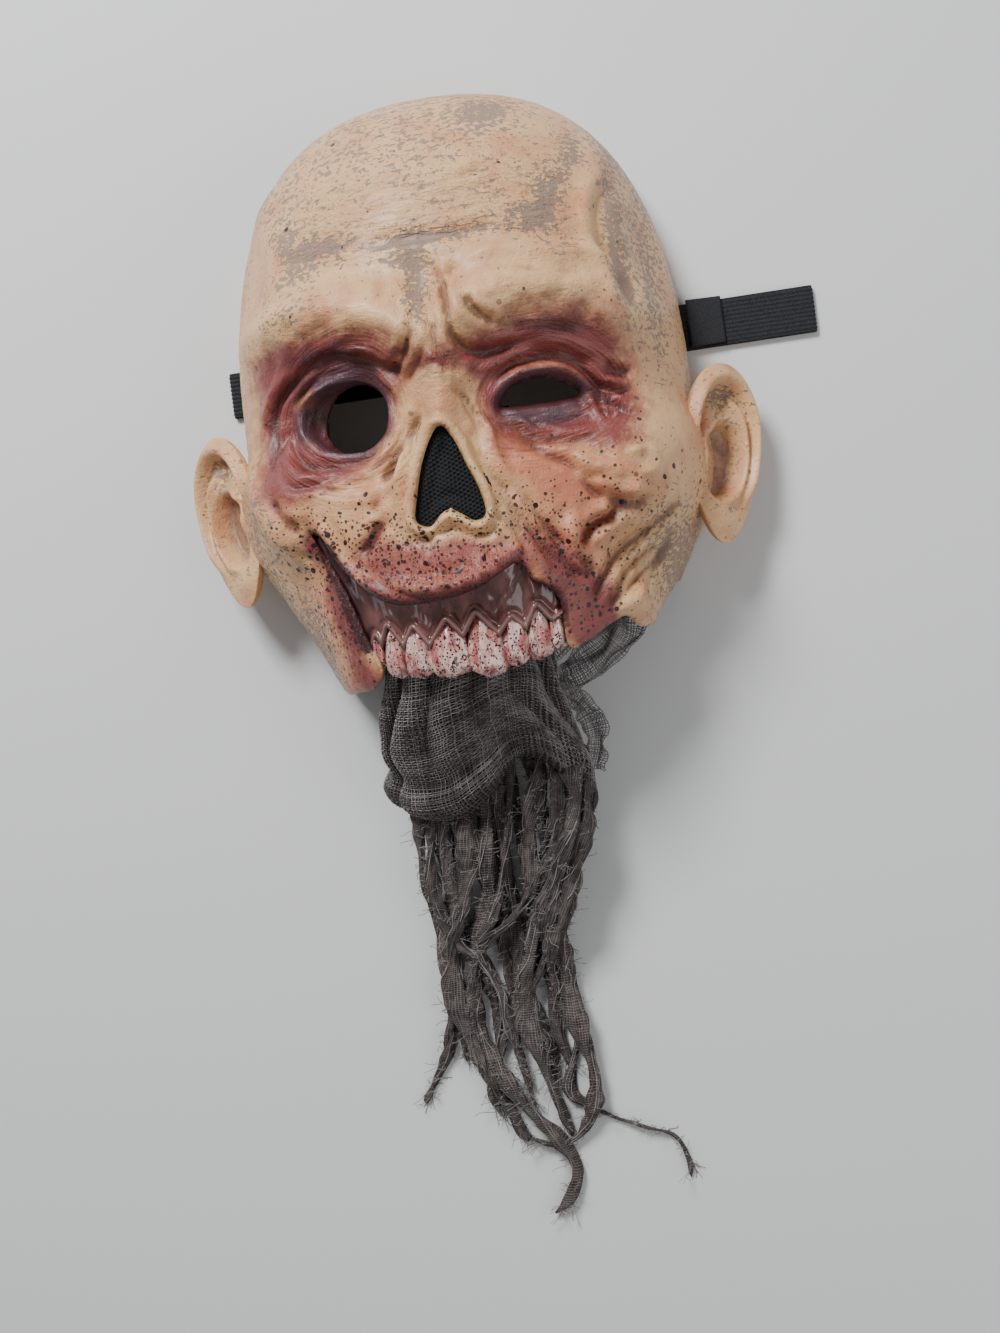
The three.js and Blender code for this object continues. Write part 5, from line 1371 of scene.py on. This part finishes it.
# %% The bunch of gauze
BEARD_LENGTH = 244.0
BUNCH_DROPS = np.array([-0.09, -0.04, 0.03, 0.1, 0.17, 0.24, 0.3])
BUNCH = np.array([  # middle and half width, shares of HALF_WIDTH; height and depth, of FACE_DEPTH
    (-0.05, 0.31, 0.72, 0.12), (-0.066, 0.34, 0.675, 0.11), (-0.097, 0.37, 0.577, 0.142),
    (-0.107, 0.41, 0.414, 0.163), (-0.097, 0.43, 0.272, 0.163), (-0.077, 0.41, 0.163, 0.131),
    (-0.066, 0.34, 0.109, 0.098)])
HEM = [(0, -148), (0.1, -158), (0.24, -165), (0.38, -166), (0.5, -156), (0.6, -144), (0.7, -144),
       (0.82, -164), (1, -184)]
PLEATS, PLEAT_DEPTH, HEM_ROLL = 8.4, 7.0, 3.4
BUNCH_TOP = -0.82 * JAW_DROP
UNDER_SUNK, UNDER_THICKNESS = 1.5, 0.7


def bunch_point(across, along, sunk=0.0):
    """The pleated cloth: across from left to right, along from the teeth to the hem."""
    hem = np.interp(across, *smooth_line(HEM, 8).T)
    y = BUNCH_TOP + (hem - BUNCH_TOP) * along
    drop = (-JAW_DROP - y) / BEARD_LENGTH
    middle, half, height, deep = (np.interp(drop, BUNCH_DROPS, column) for column in BUNCH.T)
    angle = math.pi * (1.12 - 1.24 * across)
    sway = hills(np.column_stack([3 * across, 2.4 * along, 0 * along]), 0.7, 9)
    fan = along * (3.8 * across - 1.2)
    phase = math.pi * (PLEATS * across - fan + 0.35 * sway)
    strength = 1.05 + 0.3 * np.sin(2.3 * phase)
    pleat = PLEAT_DEPTH * (np.abs(np.sin(phase)) - 0.65) * strength * soft_step(along, 0.0, 0.12)
    pleat *= 1 - 0.4 * along
    crumple = 2.2 * hills(np.column_stack([9 * across, 6 * along, 0 * along]), 1, 23)
    rolled = (1 - soft_step(across, 0.46, 0.6)) * HEM_ROLL
    hem_roll = rolled * (bell(along, 0.9, 0.07) - bell(along, 0.76, 0.07))
    hollow = 12 * hill(across, along, 0.62, 1.0, 0.1, 0.4)
    swept = 4 * hill(across, along, 0.84, 0.75, 0.1, 0.3)
    out = pleat + crumple * soft_step(along, 0.1, 0.4) + hem_roll + swept - hollow - sunk
    out -= (8 - 6 * soft_step(across, 0.6, 0.8)) * soft_step(along, 0.93, 1.0) ** 2
    x = HALF_WIDTH * (middle + half * np.cos(angle)) + out * np.cos(angle) * 0.6
    z = FACE_DEPTH * (height + deep * np.sin(angle)) + out * np.maximum(np.sin(angle), 0.25)
    behind = tooth_back(x) - 1.2 - sunk
    z = np.where(y > -0.99 * JAW_DROP, np.minimum(z, behind + 0.6 * np.minimum(pleat, 0)), z)
    return np.column_stack([x, y, np.maximum(z, 0.9)])


shaded_under_paint = Paint("gauze_under", Roughness=0.95)


def build_shaded_under_paint(paint):
    lines = mesh_lines(paint, 62, 56)
    # Painted shade: the under ply is darker than the woven threads, and its gaps are nearly black.
    paint.color(paint.mix(lines.step(0.1, 0.8), tint(26, 22, 22), tint(92, 84, 82)))
    paint.bump(lines, 0.7)


build_shaded_under_paint(shaded_under_paint)
under_bm = moved_grid(90, 70, lambda across, along: bunch_point(across, along, UNDER_SUNK))
under = add_piece("gauze_under", under_bm, [shaded_under_paint], ["gauze_beard"])
thicken(under, "ply", UNDER_THICKNESS, -1)

# %% [markdown]
# The woven layer takes its threads from the same surface. At each crossing one thread is lifted
# and the other lowered by half a thread and a little more, and small random shifts make the mesh
# as uneven as torn gauze is.

# %% The woven layer
WARP, WEFT = 86, 74
WEAVE_LIFT, THREAD_RADIUS = 0.32, 0.24


def woven(surface, warp, weft, seed):
    """Threads both ways over a surface, each over one and under the next."""
    chance = np.random.default_rng(seed)
    across, along = (np.arange(warp) + 0.5) / warp, (np.arange(weft) + 0.5) / weft
    across = across + 0.16 / warp * chance.standard_normal(warp)
    along = along + 0.16 / weft * chance.standard_normal(weft)
    across, along = (part.ravel() for part in np.meshgrid(across, along, indexing="ij"))
    wander = 0.007 * hills(np.column_stack([across, along, 0 * across]), 0.09, seed)
    points = surface((across + wander).clip(0, 1), (along + wander).clip(0, 1)).reshape(warp, weft, 3)
    out = np.cross(np.gradient(points, axis=0), np.gradient(points, axis=1))
    out /= np.maximum(np.linalg.norm(out, axis=2), 1e-9)[..., None]
    over = 1 - 2 * (np.add.outer(np.arange(warp), np.arange(weft)) % 2)[..., None]
    lifted, lowered = points + WEAVE_LIFT * out * over, points - WEAVE_LIFT * out * over
    return list(lifted) + list(lowered.transpose(1, 0, 2))


def add_threads(name, paths, radius):
    return add_piece(name, thread_mesh(name, paths, radius), [thread_paint])


weave = add_threads("gauze_weave", woven(bunch_point, WARP, WEFT, 5), THREAD_RADIUS)

# %% [markdown]
# Below the fold the gauze is torn into strips, which have twisted into ropes of uneven width.
# Each strip is a wrapped grid along a smooth path. Its section is flat and creased, and turns as
# it goes down, and loose threads wind round it.

# %% Strips
STRIP_FLATNESS, STRIP_RISE = 0.6, 13.0
STRIPS = [  # width, lift over the others, middle line in millimetres from the face's middle
    (6.5, 0, [(-42, -155), (-45, -187), (-42, -210), (-41, -239), (-45, -269), (-56, -287),
              (-59, -293)]),
    (6.0, 1, [(-31, -158), (-33, -194), (-41, -223), (-38, -252), (-38, -276)]),
    (9.0, 4, [(-23, -158), (-23, -185), (-32, -209), (-38, -234), (-35, -262), (-26, -286),
              (-15, -314)]),
    (9.5, 2, [(-12, -138), (-14, -160), (-15, -196), (-24, -220), (-31, -245), (-30, -265),
              (-20, -289), (-1, -313), (5, -327), (0, -340), (-8, -347)]),
    (8.0, 7, [(12, -126), (13, -148), (4, -178), (2, -200), (-8, -212), (-23, -223), (-33, -239),
              (-35, -254)]),
    (6.5, 1, [(-4, -132), (-7, -158), (-8, -191), (-6, -222), (-12, -247), (-21, -271),
              (-28, -288), (-25, -303)]),
    (9.0, 5, [(17, -122), (19, -138), (18, -169), (7, -193), (-2, -227), (-7, -252), (-4, -278),
              (1, -298), (5, -314)]),
    (9.0, 3, [(20, -126), (21, -148), (18, -182), (11, -214), (11, -244), (15, -270), (18, -290),
              (12, -308), (-1, -316), (-16, -311)]),
    (5.0, 0, [(-1, -134), (-1, -168), (2, -213), (3, -243), (12, -269), (6, -291), (18, -303),
              (35, -311), (49, -317), (54, -328), (54, -337)]),
    (6.0, 0, [(-8, -136), (-12, -170), (-13, -211), (-7, -247), (1, -273), (-2, -293)]),
    (6.0, 6, [(-37, -158), (-41, -193), (-36, -219), (-26, -230), (-18, -246), (-14, -272),
              (-11, -292)]),
    (10.0, 10, [(26, -164), (22, -180), (16, -198), (9, -216), (6, -236), (8, -252)]),
    (4.0, 9, [(0, -132), (-2, -160), (-12, -200), (-28, -232), (-32, -262), (-22, -284)]),
    (4.0, 8, [(8, -128), (8, -150), (10, -190), (4, -230), (-14, -262), (-10, -300)]),
    (3.5, 3, [(-20, -160), (-30, -200), (-22, -240), (-4, -262), (2, -290)]),
    (10.0, 17, [(22, -128), (27, -148), (25, -170), (15, -192), (7, -214), (3, -238)]),
    (8.0, 16, [(28, -138), (31, -158), (28, -178), (19, -200), (11, -224), (12, -246)]),
    (6.0, 12, [(16, -132), (20, -154), (17, -176), (6, -198), (-4, -222)]),
    (7.0, 0, [(-34, -150), (-36, -180), (-30, -214), (-22, -250), (-24, -276)]),
    (8.0, 0, [(6, -126), (8, -146), (12, -176), (14, -206), (8, -232), (4, -262), (8, -284)]),
    (7.0, 0, [(-16, -150), (-20, -180), (-16, -212), (-14, -240), (-8, -262)]),
]


def strip_frame(strip, index, way):
    """The middle of a strip, its half width and its turn, at shares of its length."""
    width, lift, points = strip
    line = smooth_line(points, 12)
    passed = np.concatenate([[0], np.cumsum(np.linalg.norm(np.diff(line, axis=0), axis=1))])
    at = way * passed[-1]
    x, y = (np.interp(at, passed, line[:, i]) for i in (0, 1))
    pinch = 1 + 0.22 * np.sin(at / 5.5 + 2 * index)
    radius = width / 2 * pinch * (1 - 0.5 * soft_step(way, 0.7, 1))
    high = STRIP_RISE * soft_step(y, -240, -150) + lift * np.sin(math.pi * way) ** 0.7
    high += 30 * soft_step(y, -150, -108)
    return x, y, radius * 0.8 + FLOOR_GAP + high, radius, 0.045 * at + index, passed[-1]


def strip_shape(strip, index, grown=1.0):
    """The strip's twisted, creased section at each place of its grid."""
    def shape(across, along):
        way = 0.995 * along
        x, y, z, radius, twist, length = strip_frame(strip, index, way)
        angle = 2 * math.pi * across
        at = length * way
        uneven = hills(np.column_stack([np.cos(angle), np.sin(angle), at / 9]), 0.9, index)
        finer = np.column_stack([1.6 * np.cos(angle), 1.6 * np.sin(angle), at / 16])
        creases = hills(finer, 0.5, 4 + index)
        girth = 1 + 0.42 * uneven + 0.3 * creases + 0.12 * np.cos(4 * angle + at / 7 + index)
        ends = np.sqrt(np.clip(1 - (2 * along - 1) ** 40, 0.02, 1))
        wide = radius * grown * girth * ends * np.cos(angle)
        thin = radius * grown * girth * ends * STRIP_FLATNESS * np.sin(angle)
        return np.column_stack([
            x + wide * np.cos(twist) - thin * np.sin(twist), y + 0.6 * uneven,
            np.maximum(z + wide * np.sin(twist) + thin * np.cos(twist), FLOOR_GAP + 0.1)])

    return shape


rope_paint = Paint("gauze_rope", Roughness=0.95)


def build_rope_paint(paint):
    lines, worn = mesh_lines(paint, 24, 180), paint.noise(5, 4, 0.65)
    shade = 0.55 * lines + 1.3 * (worn - 0.35)
    paint.color(paint.mix(shade.step(0.0, 0.9), tint(38, 33, 33), tint(134, 124, 120)))
    paint.bump(0.6 * lines + 0.9 * worn, 1.0)


build_rope_paint(rope_paint)
rope_bm = joined(closed(moved_grid(26, 120, strip_shape(strip, index)))
                 for index, strip in enumerate(STRIPS))
ropes = add_piece("gauze_strips", rope_bm, [rope_paint])

# %% [markdown]
# A torn edge never lies flat. Loose threads wind round each strip, just off its surface, and short
# hairs stand out from it all over and longer ones at its end. They are tubes too, so that they
# catch the light and throw shadows like the threads of the weave.

# %% Threads that wind round the strips, and fray
WINDING_THREADS, SIDE_HAIRS, TIP_HAIRS = 9, 170, 12
WINDING_RADIUS, HAIR_RADIUS, WINDING_GROWTH = 0.22, 0.13, 1.07
HAIR_LIFT = 0.3


def hair(root, reach, bend, count, wave=0.0):
    """A bent hair of so many points, kept off the floor."""
    steps = np.linspace(0, 1, count)[:, None]
    path = root + steps * reach + steps**2 * bend + wave * np.sin(5 * steps) * bend[::-1]
    path[:, 2] = np.maximum(path[:, 2], HAIR_LIFT)
    return path


chance = np.random.default_rng(11)
winding, fuzz = [], []
for index, strip in enumerate(STRIPS):
    shape = strip_shape(strip, index, WINDING_GROWTH)

    def spot(turn, way):
        return shape(np.array([turn]), np.array([way]))[0]

    for number in range(WINDING_THREADS):
        way = np.linspace(*np.sort(chance.uniform(0, 1, 2)) * (0.9, 1), 56)
        turn = chance.random() + chance.uniform(-0.8, 0.8) * way
        turn += 0.16 * hills(np.column_stack([9 * way, 0 * way, 0 * way + number]), 1, index)
        winding.append(shape(turn % 1, way))
    for _ in range(SIDE_HAIRS):
        way, turn = chance.random(), chance.random()
        angle = 2 * math.pi * turn
        out = np.array([math.cos(angle), chance.normal(0, 0.6), abs(math.sin(angle))])
        bend = chance.normal(0, 1.6, 3)
        fuzz.append(hair(spot(turn, way), out * chance.uniform(1.0, 5), bend, 7, 0.6))
    for _ in range(TIP_HAIRS):
        root = spot(chance.random(), 0.97)
        out = root - spot(0.5, 0.9)
        bend = chance.normal(0, 2.2, 3)
        fuzz.append(hair(root, out / np.linalg.norm(out) * chance.uniform(2, 9), bend, 9))
threads = add_threads("gauze_threads", winding, WINDING_RADIUS)
hairs = add_threads("gauze_fuzz", fuzz, HAIR_RADIUS)

# %% [markdown]
# At the right of the teeth gauze hangs in a loose loop, and a wisp falls beside the bunch. They
# are so open that the floor shows through, so they are threads only: two crumpled ribbons, each
# along a path, woven in the same way as the bunch.

# %% Loose loop
LOOP = np.array([(0.12, -0.06, 0.566), (0.32, -0.04, 0.5), (0.48, 0.04, 0.457), (0.57, 0.14, 0.414),
                 (0.55, 0.24, 0.414), (0.42, 0.2, 0.48), (0.24, 0.12, 0.588)])
LOOP *= (HALF_WIDTH, HALF_WIDTH, FACE_DEPTH)
LOOP[:, 1] -= JAW_DROP
WISP = np.array([(16, -112, 40), (27, -116, 36), (36, -125, 30), (39, -138, 24), (35, -152, 18)])


def ribbon(path, girth, seed):
    """A crumpled ribbon along a path, as a surface to weave on."""
    line = smooth_line(path, 10)

    def surface(across, along):
        at = along * (len(line) - 1)
        middle, ahead = on_line(line, at), on_line(np.gradient(line, axis=0), at)
        beside = np.cross(ahead, (0, 0, 1))
        beside /= np.linalg.norm(beside, axis=1)[:, None]
        sway = hills(np.column_stack([2 * across, 5 * along, 0 * along]), 0.6, seed)
        reach = girth * (0.9 + 0.8 * sway) * (across - 0.5)
        rise = 3 * np.cos(7 * across + 8 * along) + 3 * sway
        return middle + beside * reach[:, None] + rise[:, None] * (0, 0, 1)

    return surface


loop_paths = woven(ribbon(LOOP, 16, 12), 22, 110, 6) + woven(ribbon(WISP, 11, 13), 14, 56, 7)
loop = add_threads("gauze_loop", loop_paths, THREAD_RADIUS)

# %% [markdown]
# A plain pale floor, a soft light at the upper left, a larger and weaker one at the right and a
# light sky keep the folds readable without hard shadows.

# %% Floor and lights
floor_bm = bmesh.new()
bmesh.ops.create_grid(floor_bm, x_segments=1, y_segments=1, size=3)
floor_mesh = bpy.data.meshes.new("floor")
floor_bm.to_mesh(floor_mesh)
floor_bm.free()
floor_paint = Paint("pale_floor", Base_Color=(0.72, 0.73, 0.74, 1), Roughness=0.9)
floor_mesh.materials.append(floor_paint.material)
floor = in_scene("floor", floor_mesh)


def soft_light(name, place, size, watts):
    """An area light that looks at the middle of the mask."""
    lamp = bpy.data.lights.new(name, "AREA")
    lamp.size, lamp.energy = size, watts
    light = in_scene(name, lamp)
    light.location = place
    light.rotation_euler = (-Vector(place)).to_track_quat("-Z", "Y").to_euler()


soft_light("key", (-0.4, 0.95, 0.95), 0.4, 23)
soft_light("fill", (0.9, -0.3, 0.8), 0.8, 4)
world = bpy.data.worlds.new("studio")
world.use_nodes = True
sky = world.node_tree.nodes["Background"].inputs
sky["Color"].default_value = (1, 1, 1, 1)
sky["Strength"].default_value = 0.3
bpy.context.scene.world = world
print("lights", [light.name for light in bpy.data.lights])

# %% [markdown]
# The camera stands almost straight above, a little to the right of the face, and is turned so
# that the mask lies slightly askew in the picture.

# %% Camera
CAMERA_PLACE = np.array([65.3, -103.1, 630.2])  # from the face's middle
CAMERA_TILT, CAMERA_ROLL = math.radians(6), math.radians(7.4)
PICTURE_HEIGHT, FOCAL_PIXELS, SENSOR = 1333, 1428.6, 36.0

lens = bpy.data.cameras.new("lens")
lens.sensor_width, lens.lens = SENSOR, SENSOR * FOCAL_PIXELS / PICTURE_HEIGHT
camera = in_scene("camera", lens)
back = Vector((math.sin(CAMERA_TILT), 0, math.cos(CAMERA_TILT)))
up = Vector((math.sin(CAMERA_ROLL), math.cos(CAMERA_ROLL), 0))
up = (up - back * up.dot(back)).normalized()
right = up.cross(back)
camera.matrix_world = Matrix.Translation(Vector(in_frame(CAMERA_PLACE))) @ Matrix(
    (right, up, back)).transposed().to_4x4()
bpy.context.scene.camera = camera
print("camera", [round(v, 3) for v in camera.location])
